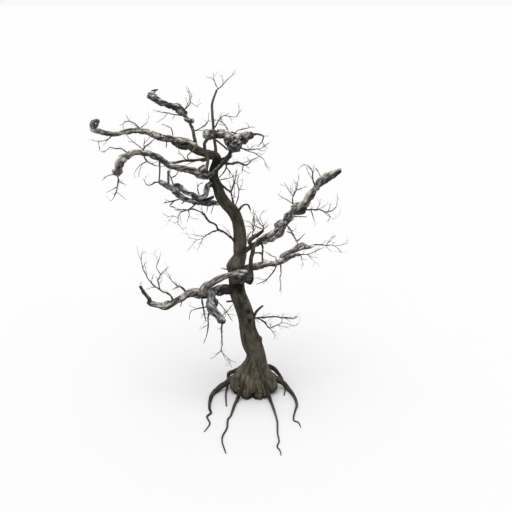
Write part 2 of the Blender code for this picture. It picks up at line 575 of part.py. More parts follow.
def flutes(height, angle):
    """The buttresses and flutes round the foot: full at the ground, gone at FLARE_TOP."""
    fade = max(0.0, 1.0 - height / FLARE_TOP) ** FLUTE_FADE
    wave = abs(math.cos(FLARE_LOBES * (angle - FLUTE_TURN) / 2))
    return FLUTE_DEPTH * fade * (wave - FLUTE_LEVEL)


def add_limb(name, line, sides, finish, lead=None, swell=None, clear_of=()):
    """A limb, cut clear of each solid that is named."""
    LINES[name] = (line, sides, lead, swell)
    body = tube(name, line, sides, 0.0, lead, swell)
    bpy.context.scene.collection.objects.link(body)
    for other in clear_of:
        cut_by(body, swelled(other))
    keep_largest(body)
    finish_piece(body, finish)


def swelled(name):
    """A limb as a cutter, larger by CUT all round."""
    line, sides, lead, swell = LINES[name]
    return tube(name + "_cutter", line, sides, CUT, lead, swell)


def blunt(line):
    """The line with a last ring that rounds off a free end."""
    tip = line[-1]
    onward = end_direction(line) * (END_REACH * tip.w)
    return line + [Vector((*(tip.to_3d() + onward), END_GIRTH * tip.w))]


def seat_on_tip(carrier, points, spacing):
    """A line that goes on from the flat tip of its carrier, GAP clear of it, and the way it sets out in."""
    carrier_line = LINES[carrier][0]
    lead = ring_directions(carrier_line, LINES[carrier][2])[-1]
    start = carrier_line[-1].to_3d() + lead * GAP
    girth = min(carrier_line[-1].w, points[0][3] * 1.04)
    return curve_through([(*start, girth), *points], spacing, lead), lead


def build_trunk():
    """The trunk, with its flutes fading up from the flat cut at the ground."""
    line = curve_through(TRUNK, TRUNK_RING, (0.0, 0.0, 1.0))
    add_limb("trunk", line, FLARE_LOBES * SIDES_TO_A_LOBE, BARK, (0.0, 0.0, 1.0), flutes)


def build_roots():
    """The surface roots, each lifted until its underside is LIFT over the ground."""
    for name, points in ROOTS.items():
        line = blunt(curve_through(points, ROOT_RING))
        line = [Vector((p.x, p.y, max(p.z, p.w + LIFT), p.w)) for p in line]
        add_limb(name, line, ROOT_SIDES, BARK, clear_of=("trunk",))


def build_boughs():
    """The boughs. One that carries another piece on its tip keeps the flat there; the rest round off."""
    grown = [*BOUGHS.values(), *TWIGS.values()]
    carriers_by_tip = {carrier for carrier, seat, *_ in grown if seat == "tip"}
    for name, (carrier, seat, points, clear_of) in BOUGHS.items():
        lead = None
        if seat == "tip":
            line, lead = seat_on_tip(carrier, points, BOUGH_RING)
        else:
            line = curve_through(points, BOUGH_RING)
        if name not in carriers_by_tip:
            line = blunt(line)
        cuts = [carrier] if seat == "side" else []
        add_limb(name, line, BOUGH_SIDES, WEATHERED, lead, clear_of=[*cuts, *clear_of])


# ---------------------------------------------------------------- masses of twigs


def tapered(points, thick, thin):
    """Points of (x, y, z) given a radius that tapers evenly along them."""
    places = [Vector(point) for point in points]
    gone = [0.0]
    for a, b in zip(places, places[1:]):
        gone.append(gone[-1] + (b - a).length)
    return [(*place, thick + (thin - thick) * far / gone[-1]) for place, far in zip(places, gone)]


def nearest_on(lines, place):
    """The point of some lines nearest to a place, with its radius."""
    best, least = None, math.inf
    for line in lines:
        for a, b in zip(line, line[1:]):
            run = (b - a).to_3d()
            share = max(0.0, min(1.0, (place - a.to_3d()).dot(run) / run.length_squared))
            point = a.lerp(b, share)
            if (point.to_3d() - place).length < least:
                best, least = point, (point.to_3d() - place).length
    return best


def distance_to(line, place):
    """How far a place is from the surface of the limb along a line."""
    point = nearest_on([line], place)
    return (point.to_3d() - place).length - point.w


def mass_lines(name):
    """The stem and forks of a mass as lines with their sides: the stem first."""
    carrier, seat, girth, stem_points, forks = TWIGS[name]
    lead = None
    if seat == "tip":
        tip = LINES[carrier][0][-1]
        points = tapered([tip.to_3d(), *stem_points], girth, STEM_TIP)
        stem, lead = seat_on_tip(carrier, points[1:], STEM_RING)
    else:
        stem = curve_through(tapered(stem_points, girth, STEM_TIP), STEM_RING)
    lines = [stem]
    for fork in forks:
        root = nearest_on(lines, Vector(fork[0]))
        thick = max(FORK_GIRTH * root.w, STEM_TIP * 1.3)
        points = tapered([root.to_3d(), *fork[1:]], thick, STEM_TIP)
        lines.append(curve_through(points, FORK_RING))
    return lines, lead


def grow_side_twigs(name, lines, others, dice):
    """Side twigs by rule: one to each TWIG_SPACING of stem and fork, leaning off it by a drawn angle and
    turning upwards. One that leaves the mass's box, or comes near another limb or mass, is skipped."""
    places = [point.to_3d() for line in lines for point in line]
    low = [min(p[axis] for p in places) - MASS_REACH for axis in range(3)]
    high = [max(p[axis] for p in places) + MASS_REACH for axis in range(3)]
    twigs = []
    for line in lines:
        length = sum((b - a).to_3d().length for a, b in zip(line, line[1:]))
        for _ in range(int(length / TWIG_SPACING)):
            at = dice.uniform(*TWIG_PLACES) * (len(line) - 1)
            root = line[int(at)].lerp(line[int(at) + 1], at % 1)
            along = (line[int(at) + 1] - line[int(at)]).to_3d().normalized()
            turn = dice.uniform(0, 2 * math.pi)
            lean = dice.uniform(*TWIG_LEAN)
            reach = dice.uniform(*TWIG_LENGTHS)
            across = along.orthogonal().normalized()
            outward = math.cos(turn) * across + math.sin(turn) * along.cross(across)
            heading = (math.cos(lean) * along + math.sin(lean) * outward).normalized()
            middle = root.to_3d() + heading * (0.5 * reach)
            bent = (heading + Vector((0, 0, TWIG_RISE))).normalized()
            tip = middle + bent * (0.5 * reach)
            thick = min(TWIG_RADII[0], TWIG_GIRTH * root.w)
            thin = min(TWIG_RADII[1], TWIG_TAPER * thick)
            if not all(low[axis] <= tip[axis] <= high[axis] for axis in range(3)):
                continue
            # A stem starts inside its carrier, so only the outer half of the twig is tested.
            tested = [middle, middle.lerp(tip, 0.5), tip]
            if any(distance_to(other, place) < TWIG_CLEAR for other in others for place in tested):
                continue
            twigs.append([
                Vector((*root.to_3d(), thick)),
                Vector((*middle, (thick + thin) / 2)),
                Vector((*tip, thin)),
            ])
    return twigs


def build_twigs():
    """The masses: stem, forks and side twigs joined into one solid, seated on what carries it."""
    dice = random.Random(SEED)
    masses = {name: mass_lines(name) for name in TWIGS}
    for name, (lines, lead) in masses.items():
        carrier, seat, *_ = TWIGS[name]
        others = [line for line, *_ in LINES.values()]
        others += [line for other in masses if other != name for line in masses[other][0]]
        side_twigs = grow_side_twigs(name, lines, others, dice)
        body = tube(name, lines[0], STEM_SIDES, lead=lead)
        bpy.context.scene.collection.objects.link(body)
        parts = [tube(name + "_fork", line, FORK_SIDES) for line in lines[1:]]
        parts += [tube(name + "_twig", line, TWIG_SIDES) for line in side_twigs]
        if parts:
            join_all(body, parts)
        if seat == "side":
            cut_by(body, swelled(carrier))
        keep_largest(body)
        finish_piece(body, TWIG_BARK)
        LINES[name] = (lines[0], STEM_SIDES, lead, None)
        for index, twig in enumerate(side_twigs):
            LINES[f"{name}_{index}"] = (twig, TWIG_SIDES, None, None)


# ---------------------------------------------------------------- the whole tree


def main():
    for leftover in list(bpy.data.objects):
        bpy.data.objects.remove(leftover)
    build_trunk()
    build_roots()
    build_boughs()
    build_twigs()


main()
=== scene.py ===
# %% [markdown]
# # A dead tree
# This lesson dresses a dead tree. Its trunk, roots and boughs are wood with relief, and every spray of twigs is
# grown by one rule. The imported model gives the places, so the first step loads it.
# Lengths are in metres, but the tables of points are in centimetres: x to the right, y back and z up from the
# middle of the trunk's foot, and mostly a radius as the fourth number.

# %% Load the frame
import itertools
import math

import bpy
import numpy as np
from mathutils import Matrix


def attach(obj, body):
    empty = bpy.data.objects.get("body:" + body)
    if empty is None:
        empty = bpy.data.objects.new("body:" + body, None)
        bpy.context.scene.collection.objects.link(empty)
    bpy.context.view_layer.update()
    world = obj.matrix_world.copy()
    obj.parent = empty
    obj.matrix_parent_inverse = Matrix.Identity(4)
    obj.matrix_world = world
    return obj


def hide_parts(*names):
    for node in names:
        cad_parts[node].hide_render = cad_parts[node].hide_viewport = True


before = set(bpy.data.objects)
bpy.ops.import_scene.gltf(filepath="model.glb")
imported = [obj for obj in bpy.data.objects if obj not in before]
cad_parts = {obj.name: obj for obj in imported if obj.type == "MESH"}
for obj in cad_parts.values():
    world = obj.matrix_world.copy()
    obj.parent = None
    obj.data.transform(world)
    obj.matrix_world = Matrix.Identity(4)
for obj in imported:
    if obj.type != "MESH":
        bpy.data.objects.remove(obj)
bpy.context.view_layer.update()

# %% [markdown]
# ## The camera
# The tree is seen from the front and from about twenty degrees above, so that the roots spread out below the
# trunk. A longer lens keeps the trunk's foot and its crown in true proportion.

# %% Camera
camera_data = bpy.data.cameras.new("camera")
camera_data.lens = 49.45
camera_data.sensor_width = 36.0
camera = bpy.data.objects.new("camera", camera_data)
camera.location = (0.0427, -13.13, 7.785)
camera.rotation_euler = (math.radians(70.0), 0.0, 0.0)
bpy.context.scene.collection.objects.link(camera)
bpy.context.scene.camera = camera
print("camera at", tuple(round(value, 2) for value in camera.location))

# %% [markdown]
# ## Lines for the wood
# Every limb is a line of points with a radius at each. A tapering limb could be drawn as a Blender curve, but
# here the rings are worked out in code, because the bark's relief needs to know how far along the limb and how
# far round it each point lies. A Hermite spline carries the line smoothly through its points.


# %% Smooth lines
DOME_RINGS = 5
DOME_TURN = 0.97  # How much of a quarter turn a dome makes: just short of a point.


def length_along(line):
    """How far along the line each of its points is."""
    steps = np.linalg.norm(np.diff(line[:, :3], axis=0), axis=1)
    return np.concatenate([[0.0], np.cumsum(steps)])


def metres(points):
    """Points of a table, which gives them in centimetres, as an array in metres."""
    return np.array(points, float) / 100.0


def smooth_line(points, spacing):
    """A smooth line through points of (x, y, z, radius), as an array of points about `spacing` apart."""
    knots = np.array(points, float)
    spans = np.diff(length_along(knots))
    slopes = []
    for i in range(len(knots)):
        before, after = max(i - 1, 0), min(i + 1, len(knots) - 1)
        slopes.append((knots[after] - knots[before]) / spans[before:after].sum())
    line = []
    for start, end, slope, next_slope, span in zip(knots, knots[1:], slopes, slopes[1:], spans):
        steps = max(1, round(span / spacing))
        t = (np.arange(steps) / steps)[:, None]
        line.append(
            start * (2 * t**3 - 3 * t**2 + 1)
            + slope * (span * (t**3 - 2 * t**2 + t))
            + end * (3 * t**2 - 2 * t**3)
            + next_slope * (span * (t**3 - t**2))
        )
    return np.vstack([*line, knots[-1:]])


def rounded_end(line, share=0.5):
    """The line with rings that close its end into a dome, whose depth is a share of its radius."""
    heading = line[-1, :3] - line[-2, :3]
    heading /= np.linalg.norm(heading)
    radius = line[-1, 3]
    added = []
    for ring in range(1, DOME_RINGS + 1):
        turn = 0.5 * math.pi * ring / DOME_RINGS * DOME_TURN
        place = line[-1, :3] + heading * radius * share * math.sin(turn)
        added.append([*place, radius * math.cos(turn)])
    return np.vstack([line, added])


def rounded_start(line, share=0.5):
    """The same for its beginning."""
    return rounded_end(line[::-1], share)[::-1]


# %% [markdown]
# ## Noise in code
# Bark is rough at many sizes at once. A texture could only paint that, so the relief is real geometry: a noise
# function moves each point of a limb in or out. This one gives every corner of a grid a value of its own and
# blends smoothly between the corners. The numbers that a place is multiplied by, before its noise is read, say
# how many cells of that grid lie in a metre: the larger they are, the finer is the relief. The number after the
# place is a seed, and each use has its own, so that no two layers of relief line up.


# %% Noise
CORNER_FACTORS = np.array((73856093, 19349663, 83492791))
SEED_FACTOR = 2654435761
SCRAMBLES = ((13, 1274126177), (15, 668265263))  # Each a shift of the bits and a factor.
ROUNDNESS = 0.8
BENDS_PER_METRE = 6.0  # Cells of the noise that bends a line.
STEADY_LENGTH = 0.12  # How far from its root a line reaches its full bends.


def noise(places, seed):
    """Smooth noise between -1 and 1 for an array of places."""
    cell = np.floor(places).astype(np.int64)
    part = places - cell
    fade = part**3 * (part * (part * 6 - 15) + 10)
    total = np.zeros(places.shape[:-1])
    for corner in itertools.product((0, 1), repeat=3):
        at = (cell + np.array(corner)) * CORNER_FACTORS
        mixed = at[..., 0] ^ at[..., 1] ^ at[..., 2] ^ (seed * SEED_FACTOR)
        for shift, factor in SCRAMBLES:
            mixed = ((mixed ^ (mixed >> shift)) * factor) & 0x7FFFFFFF
        value = ((mixed >> 8) & 0xFFFF) / 32767.5 - 1.0
        weight = np.prod(np.where(np.array(corner) == 1, fade, 1.0 - fade), axis=-1)
        total += weight * value
    return total


def bulges(places, seed):
    """Rounded bulges that meet in sharp creases: 0 in the creases and up to 1."""
    return np.abs(noise(places, seed)) ** ROUNDNESS


def ridges(places, seed):
    """Noise with sharp crests: near 1 on the crests and down to -1 in the wide hollows."""
    return 1.0 - 2.0 * bulges(places, seed)


def clefts(places, seed, width):
    """1 along the middle of thin wandering clefts, and 0 away from them."""
    return np.clip(1.0 - np.abs(noise(places, seed)) / width, 0.0, 1.0)


def crooked(line, dice, amount):
    """The line with small random bends, none at its root."""
    far = length_along(line)
    where = far[:, None] * BENDS_PER_METRE + dice.uniform(0, 90, 3)
    stray = np.stack([noise(np.roll(where, axis, axis=1), 50 + axis) for axis in range(3)], axis=1)
    bent = line.copy()
    bent[:, :3] += stray * amount * np.clip(far / STEADY_LENGTH, 0.0, 1.0)[:, None]
    return bent


# %% [markdown]
# ## From line to limb
# A limb is a stack of rings joined by faces. The rings turn with the line without twisting, so the grain runs
# straight along the limb. A relief function is handed the place of each point on the bark: across, round and
# along. It gives back how far the point moves out and how light the wood is there, from 0 in a cleft to 1 on a
# crest: dark clefts are painted shade, pale crests painted light and on bare wood also bleaching. Both stay
# with the mesh as attributes, which the material reads.


# %% Limbs
LEAST_GIRTH = 0.35  # A thin end's grain is drawn as on this share of the limb's thickest girth, or it crowds.


def ring_frames(line):
    """For each point of a line, two directions square to it that don't twist along the limb."""
    along = np.gradient(line[:, :3], axis=0)
    along /= np.linalg.norm(along, axis=1)[:, None]
    across = np.zeros_like(along)
    start = np.cross(along[0], (0.0, -1.0, 0.0))
    if np.linalg.norm(start) < 0.3:  # The limb sets out nearly along that axis, so another is taken.
        start = np.cross(along[0], (1.0, 0.0, 0.0))
    across[0] = start / np.linalg.norm(start)
    for i in range(1, len(line)):
        kept = across[i - 1] - along[i] * (across[i - 1] @ along[i])
        across[i] = kept / np.linalg.norm(kept)
    return across, np.cross(along, across)


def limb_part(line, sides, relief, swell=None):
    """A closed limb along a line, with its relief, as points, faces and what the material reads."""
    across, beside = ring_frames(line)
    angles = 2 * math.pi * np.arange(sides) / sides
    spokes = np.cos(angles)[None, :, None] * across[:, None] + np.sin(angles)[None, :, None] * beside[:, None]
    radius = np.repeat(line[:, 3:4], sides, axis=1)
    if swell is not None:
        radius = radius * swell(line, spokes)
    far = np.repeat(length_along(line)[:, None], sides, axis=1)
    girth = np.maximum(line[:, 3:4], LEAST_GIRTH * line[:, 3].max())
    bark = np.stack([np.cos(angles)[None, :] * girth, np.sin(angles)[None, :] * girth, far], axis=-1)
    out, tone = relief(bark, radius, line)
    points = line[:, None, :3] + spokes * (radius + out)[..., None]
    points[..., 2] = np.maximum(points[..., 2], 0.0)
    grid = np.arange(len(line) * sides).reshape(len(line), sides)
    after = np.roll(grid, -1, axis=1)
    faces = np.stack([grid[:-1], after[:-1], after[1:], grid[1:]], axis=-1).reshape(-1, 4).tolist()
    faces += [grid[0][::-1].tolist(), grid[-1].tolist()]
    return points.reshape(-1, 3), faces, np.clip(tone, 0.0, 1.0).reshape(-1), bark.reshape(-1, 3)


def limbs_mesh(name, parts):
    """One mesh made of several limbs."""
    faces, first = [], 0
    for points, part_faces, _, _ in parts:
        faces += [[first + corner for corner in face] for face in part_faces]
        first += len(points)
    mesh = bpy.data.meshes.new(name)
    mesh.from_pydata(np.vstack([part[0] for part in parts]).tolist(), [], faces)
    tone = mesh.attributes.new("tone", "FLOAT", "POINT")
    tone.data.foreach_set("value", np.concatenate([part[2] for part in parts]).astype(np.float32))
    grain = mesh.attributes.new("grain", "FLOAT_VECTOR", "POINT")
    grain.data.foreach_set("vector", np.vstack([part[3] for part in parts]).reshape(-1).astype(np.float32))
    mesh.polygons.foreach_set("use_smooth", [True] * len(mesh.polygons))
    return mesh


TRIANGLES = {}


def add_piece(mesh, material, slot, *nodes):
    """Puts a mesh into the scene as a piece of the tree that stands for the given solids."""
    piece = bpy.data.objects.new(mesh.name, mesh)
    bpy.context.scene.collection.objects.link(piece)
    mesh.materials.append(material)
    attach(piece, "root")
    if nodes:
        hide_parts(*nodes)
    TRIANGLES[piece.name] = sum(len(face.vertices) - 2 for face in mesh.polygons)


# %% [markdown]
# ## Finishes for the wood
# Old bark still covers the trunk and roots: dull, olive to umber brown, with no shine at all. The boughs have
# lost theirs: sun and rain bleach bare wood to silver on top. So the finishes read the tone that the relief
# left, dark in the clefts as painted shade, and add fine grain that runs along the limb. Then they make the
# wood paler where it faces up and darker beneath: painted light and painted shade, on bare wood also bleaching.


# %% Wood materials
FIBRE_SHARE, PATCH_SHARE = 0.40, 0.52  # How much fibres and broad patches add to the tone.
MEAN_ADDED = (FIBRE_SHARE + PATCH_SHARE) / 2  # What the two add on the whole, which is taken off again.
FACING_LIGHT_RANGE = (-0.55, 0.85)  # How far up the surface faces at the deepest painted shade beneath and at the full painted light on top.


def linear(*colour):
    """A screen colour, 0 to 255, as the linear colour that a shader takes."""
    return [*(((c / 255 + 0.055) / 1.055) ** 2.4 if c > 10 else c / 255 / 12.92 for c in colour), 1.0]


def wood_material(name, stops, light_and_bleach, fine, rough, shine, stain, stained):
    """Wood whose colour runs through the stops as the relief's tone rises.

    The pair after the stops gives the brightness beneath and on top: painted shade and painted light, which on
    bare wood also stand for bleaching. `fine` is how many fibres lie in a metre, `rough` the range of the
    roughness and `shine` its specular level. `stain` tints the wood in patches, where a noise lies in the range
    `stained`, or where the mesh itself says that it is warm.
    """
    made = bpy.data.materials.new(name)
    made.use_nodes = True
    nodes, links = made.node_tree.nodes, made.node_tree.links
    shader = nodes["Principled BSDF"]
    shader.inputs["Specular IOR Level"].default_value = shine

    def node(kind, *values, operation=None, **sockets):
        """A node with its inputs set, in order or by name. A value that is a socket is linked instead."""
        new = nodes.new(kind)
        if operation:
            new.operation = operation
        for key, value in [*enumerate(values), *sockets.items()]:
            if isinstance(value, bpy.types.NodeSocket):
                links.new(value, new.inputs[key])
            else:
                new.inputs[key].default_value = value
        return new

    def attribute(title):
        """What the mesh holds under a name."""
        found = nodes.new("ShaderNodeAttribute")
        found.attribute_name = title
        return found

    grain = attribute("grain").outputs["Vector"]

    def grain_noise(scale, detail):
        """A noise texture drawn out along the limb."""
        drawn = node("ShaderNodeVectorMath", grain, scale, operation="MULTIPLY").outputs["Vector"]
        return node("ShaderNodeTexNoise", Vector=drawn, Scale=1.0, Detail=detail, Roughness=0.6).outputs["Fac"]

    fibres = grain_noise((fine, fine, fine * 0.12), 4.0)
    patches = grain_noise((7.0, 7.0, 2.6), 3.0)
    tone = attribute("tone").outputs["Fac"]
    tone = node("ShaderNodeMath", fibres, FIBRE_SHARE, tone, operation="MULTIPLY_ADD").outputs["Value"]
    tone = node("ShaderNodeMath", patches, PATCH_SHARE, tone, operation="MULTIPLY_ADD").outputs["Value"]
    tone = node("ShaderNodeMath", tone, MEAN_ADDED, operation="SUBTRACT").outputs["Value"]
    ramp = node("ShaderNodeValToRGB", tone)
    ramp.color_ramp.elements.remove(ramp.color_ramp.elements[1])
    for i, (place, colour) in enumerate(stops):
        stop = ramp.color_ramp.elements[0] if i == 0 else ramp.color_ramp.elements.new(place)
        stop.position = place
        stop.color = linear(*colour)
    if stained == "warm":
        amount = attribute("warm").outputs["Fac"]
    else:
        blots = grain_noise((5.0, 5.0, 3.0), 2.0)
        amount = node("ShaderNodeMapRange", blots, *stained, 0.0, 1.0).outputs["Result"]
    mix = nodes.new("ShaderNodeMix")
    mix.data_type = "RGBA"
    mix.blend_type = "MULTIPLY"
    mix.inputs["B"].default_value = stain
    links.new(amount, mix.inputs["Factor"])
    links.new(ramp.outputs["Color"], mix.inputs["A"])

    # Painted light and shade: the colour is scaled by how far the surface faces up, paler on top and darker
    # beneath. On bare wood this also stands for bleaching.
    facing = nodes.new("ShaderNodeNewGeometry").outputs["Normal"]
    upward = node("ShaderNodeSeparateXYZ", facing).outputs["Z"]
    facing_light = node("ShaderNodeMapRange", upward, *FACING_LIGHT_RANGE, *light_and_bleach).outputs["Result"]
    facing_lit_colour = node("ShaderNodeVectorMath", mix.outputs["Result"], operation="SCALE", Scale=facing_light)
    links.new(facing_lit_colour.outputs["Vector"], shader.inputs["Base Color"])
    gloss = node("ShaderNodeMapRange", fibres, 0.0, 1.0, *rough).outputs["Result"]
    links.new(gloss, shader.inputs["Roughness"])
    bump = node("ShaderNodeBump", Strength=0.55, Distance=0.006, Height=fibres)
    links.new(bump.outputs["Normal"], shader.inputs["Normal"])
    return made


OLD_BARK = wood_material(
    "old_bark",
    [
        (0.0, (8, 8, 7)), (0.12, (32, 30, 25)), (0.30, (49, 46, 38)), (0.55, (75, 71, 60)),
        (0.80, (98, 93, 79)), (1.0, (122, 116, 100)),
    ],
    light_and_bleach=(0.55, 1.15), fine=60.0, rough=(0.75, 0.95), shine=0.2, stain=(1.0, 0.84, 0.74, 1.0), stained="warm",
)
SILVER_WOOD = wood_material(
    "silver_wood",
    [
        (0.0, (20, 18, 16)), (0.22, (58, 54, 50)), (0.45, (110, 106, 101)), (0.72, (172, 168, 162)),
        (1.0, (214, 211, 206)),
    ],
    light_and_bleach=(0.22, 1.45), fine=75.0, rough=(0.45, 0.75), shine=0.25,
    stain=(0.96, 0.91, 0.80, 1.0), stained=(0.50, 0.75),
)
COOL_WOOD = wood_material(
    "cool_wood",
    [
        (0.0, (17, 17, 18)), (0.22, (56, 55, 56)), (0.45, (110, 109, 109)), (0.72, (174, 173, 173)),
        (1.0, (218, 217, 217)),
    ],
    light_and_bleach=(0.22, 1.45), fine=75.0, rough=(0.35, 0.65), shine=0.3,
    stain=(0.97, 0.93, 0.94, 1.0), stained=(0.35, 0.75),
)
DARK_WOOD = wood_material(
    "dark_wood",
    [
        (0.0, (12, 11, 10)), (0.30, (30, 28, 26)), (0.55, (56, 53, 49)), (0.80, (100, 96, 90)),
        (1.0, (156, 152, 146)),
    ],
    light_and_bleach=(0.40, 1.25), fine=70.0, rough=(0.55, 0.85), shine=0.25,
    stain=(0.90, 0.84, 0.70, 1.0), stained=(0.50, 0.75),
)
FINISHES = {"pale": SILVER_WOOD, "cool": COOL_WOOD, "dark": DARK_WOOD, "bark": OLD_BARK}
print("finishes:", [finish.name for finish in FINISHES.values()])

# %% [markdown]
# ## The trunk
# The trunk leans one way, then the other, and opens at the foot into a flare. Deep clefts part the flare into
# rounded buttresses that fan out from the waist. It could be sculpted by hand, but a table of clefts, each with
# a bearing and a depth, keeps it easy to change. Between two clefts the flare swells out as a round lobe.

# %% Trunk shape
TRUNK = [
    (0, 0, 0, 44), (0, 0, 13, 44), (0, 0, 22, 44), (1, 0, 34, 40), (3, 0, 47, 31), (4, 0, 62, 24),
    (4, 0, 84, 19.5), (-5, 0, 110, 20.5), (-12, 1, 138, 17.5), (-17, 3, 170, 16.8), (-32, 6, 216, 15.5),
    (-35, 7, 244, 15.8), (-36, 8, 278, 16.8), (-32, 8, 288, 14.6), (-28, 8, 299, 12.4), (-28, 8, 310, 12.5),
    (-27, 7, 332, 13), (-29, 5, 356, 12), (-32, 3, 373, 11.3), (-37, 1, 386, 11.3), (-44, 0, 397, 11.3),
    (-53, 0, 406, 11), (-61, 0, 417, 10.8), (-66, -1, 428, 10.4), (-69, -2, 441, 9.4), (-76, -5, 459, 9.1),
    (-77, -4, 472, 9.1), (-73, -2, 483, 9.1), (-70, 0, 492, 9.3), (-72, 3, 500, 8.7), (-81, 6, 503, 8.2),
    (-93, 9, 506, 7.6), (-104, 11, 509, 7.4), (-114, 14, 513, 7), (-122, 18, 517, 6.5),
]
# Clefts between the buttresses: bearing in degrees from +X, and depth as a share of the radius.
CLEFTS = [
    (-138, 0.26), (-90, 0.30), (-64, 0.16), (-38, 0.26), (22, 0.24), (58, 0.20), (94, 0.30), (130, 0.20),
    (163, 0.24),
]
FLARE_TOP = 0.95  # The clefts start at this height and deepen towards the ground.
COARSE_TOP = 0.8  # Below this height the bark grows coarser.
# How light the bark is up the trunk: height in metres and change of tone. It is partly the bark's own tone and
# partly painted shade: the darkest stretch, from 4.5 to 4.93 m, is the shade on the neck under the elbow.
TRUNK_TONES = [
    (0.0, 0.02), (0.5, 0.12), (0.9, 0.06), (1.3, -0.02), (1.7, 0.02), (2.15, 0.05), (2.4, -0.06), (2.8, 0.16),
    (3.4, 0.12), (4.0, -0.06), (4.5, -0.16), (4.75, -0.34), (4.93, -0.30), (5.02, -0.02), (5.2, -0.04),
]
# Knobs and hollows: x, y, z, reach and height out of the surface, all in centimetres, and how much lighter.
# The darker ones are painted shade in the hollows, and from 2.1 to 2.45 m the painted shadow under the crossing
# bough and down the trunk's right side below it.
KNOBS = [
    (-49, 4, 278, 11, 3.8, 0.05), (13, -6, 121, 9, 4.5, 0.05), (13, -8, 108, 14, 2.5, 0),
    (-44, -13, 102, 20, -2, 0), (-30, -12, 402, 14, 1.2, 0), (-22, -8, 243, 14, -2, -1),
    (-34, -6, 241, 13, -1, -0.75), (-20, -6, 233, 14, -1, -0.55), (-16, -2, 212, 12, -0.6, -0.32),
    (-27, -9, 225, 6, -1.2, -0.35), (-17, -12, 191, 15, -1, -0.22), (-16, -12, 193, 7.5, 4.2, 0.34),
    (-16, -15, 193, 3, -2.2, -0.15), (-10, -11, 183, 6, -2.2, -0.6), (-6, -10, 172, 6, 3.4, 0.22),
    (-9, -11, 164, 5, -2.2, -0.55), (16.5, -3, 106, 4.5, -3, -0.5), (13, -3, 120, 7, 2, 0.05),
]


def lobe_depth(bearing):
    """How deep each bearing lies between two clefts: 0 on top of a lobe, and the cleft's own depth in it."""
    marks = np.array([at for at, _ in CLEFTS] + [CLEFTS[0][0] + 360.0])
    depths = np.array([depth for _, depth in CLEFTS] + [CLEFTS[0][1]])
    turned = (bearing - marks[0]) % 360.0 + marks[0]
    index = np.clip(np.searchsorted(marks, turned, side="right") - 1, 0, len(marks) - 2)
    share = 2.0 * (turned - marks[index]) / (marks[index + 1] - marks[index]) - 1.0
    depth = np.where(share < 0, depths[index], depths[index + 1])
    return depth * (1.0 - np.sqrt(np.clip(1.0 - np.abs(share) ** 2.2, 0.0, 1.0)))


def flare(line, spokes):
    """How much wider or narrower the trunk is at each point than the radius in its table."""
    bearing = np.degrees(np.arctan2(spokes[..., 1], spokes[..., 0]))
    height = line[:, None, 2]
    wander = 7.0 * noise(np.stack([bearing / 30.0, height * 5.0 + 0 * bearing, 0 * bearing], -1), 17)
    fade = np.clip(1.0 - height / FLARE_TOP, 0.0, 1.0)
    return 1.0 + 0.05 * fade - 1.15 * fade**0.75 * lobe_depth(bearing + wander)


def trunk_relief(bark, radius, line):
    """Long shallow grooves, a plated skin, knobs and hollows."""
    height = line[:, None, 2]
    foot = np.clip(1.0 - height / COARSE_TOP, 0.0, 1.0)
    grooves = ridges(bark * (11.0, 11.0, 1.5), 3)
    plates = ridges(bark * (30.0, 30.0, 7.0), 5)
    skin = noise(bark * (70.0, 70.0, 38.0), 7)
    swells = noise(bark * (4.0, 4.0, 3.0), 9)
    cracks = clefts(bark * (16.0, 16.0, 3.2), 11, 0.14)
    mottle = noise(bark * (13.0, 13.0, 9.0), 15)
    out = 0.005 * grooves + 0.002 * plates + 0.0012 * skin + 0.012 * swells - 0.005 * cracks
    out = out + 0.003 * mottle + foot * (0.008 * mottle + 0.006 * plates)
    # The tone is darker in the cracks and the hollows of the grooves, as painted shade. TRUNK_TONES then adds
    # tone up the trunk, with painted shade on the neck under the elbow.
    tone = 0.43 + 0.06 * grooves + 0.06 * plates + 0.07 * skin - 0.20 * cracks + 0.12 * swells + 0.15 * mottle
    return out, tone + np.interp(height, *zip(*TRUNK_TONES))


def foot_relief(bark, radius, line):
    """The mottled, faintly ribbed skin of the buttresses."""
    bark = bark + line[0, :3] * 3.0
    ribs = ridges(bark * (24.0, 24.0, 4.5), 13)
    mottle = noise(bark * (12.0, 12.0, 10.0), 15)
    skin = noise(bark * (60.0, 60.0, 40.0), 19)
    cracks = clefts(bark * (20.0, 20.0, 5.0), 29, 0.16)
    out = radius * (0.08 * ribs + 0.10 * mottle - 0.10 * cracks) + 0.0015 * skin
    # The tone is darker in the cracks and between the ribs, as painted shade.
    return out, 0.54 + 0.16 * ribs + 0.15 * mottle + 0.06 * skin - 0.26 * cracks


# %% Trunk mesh
TRUNK_SIDES, TRUNK_SPACING = 112, 0.0125  # Points in a ring, and metres from ring to ring.
BUTTRESS_SIDES, BUTTRESS_SPACING = 48, 0.012
GROUND_SHADE, GROUND_SHADE_TOP = 0.30, 0.10  # Painted shade where the bark meets the ground: how much darker, and up to what height.
# Warmer bark at the foot: its middle and reach in metres, and how warm it is.
WARM_BARK = [((0.0, -0.42, 0.12), 0.30, 0.9), ((0.0, -0.25, 0.45), 0.30, 0.3)]


def near(places, middle, reach):
    """1 at the middle and fading to 0 beyond the reach."""
    return np.exp(-2.0 * (np.linalg.norm(places - np.array(middle), axis=1) / reach) ** 2)


def vectors(mesh, what):
    """The places or normals of a mesh's points."""
    found = np.empty(len(mesh.vertices) * 3)
    mesh.vertices.foreach_get(what, found)
    return found.reshape(-1, 3)


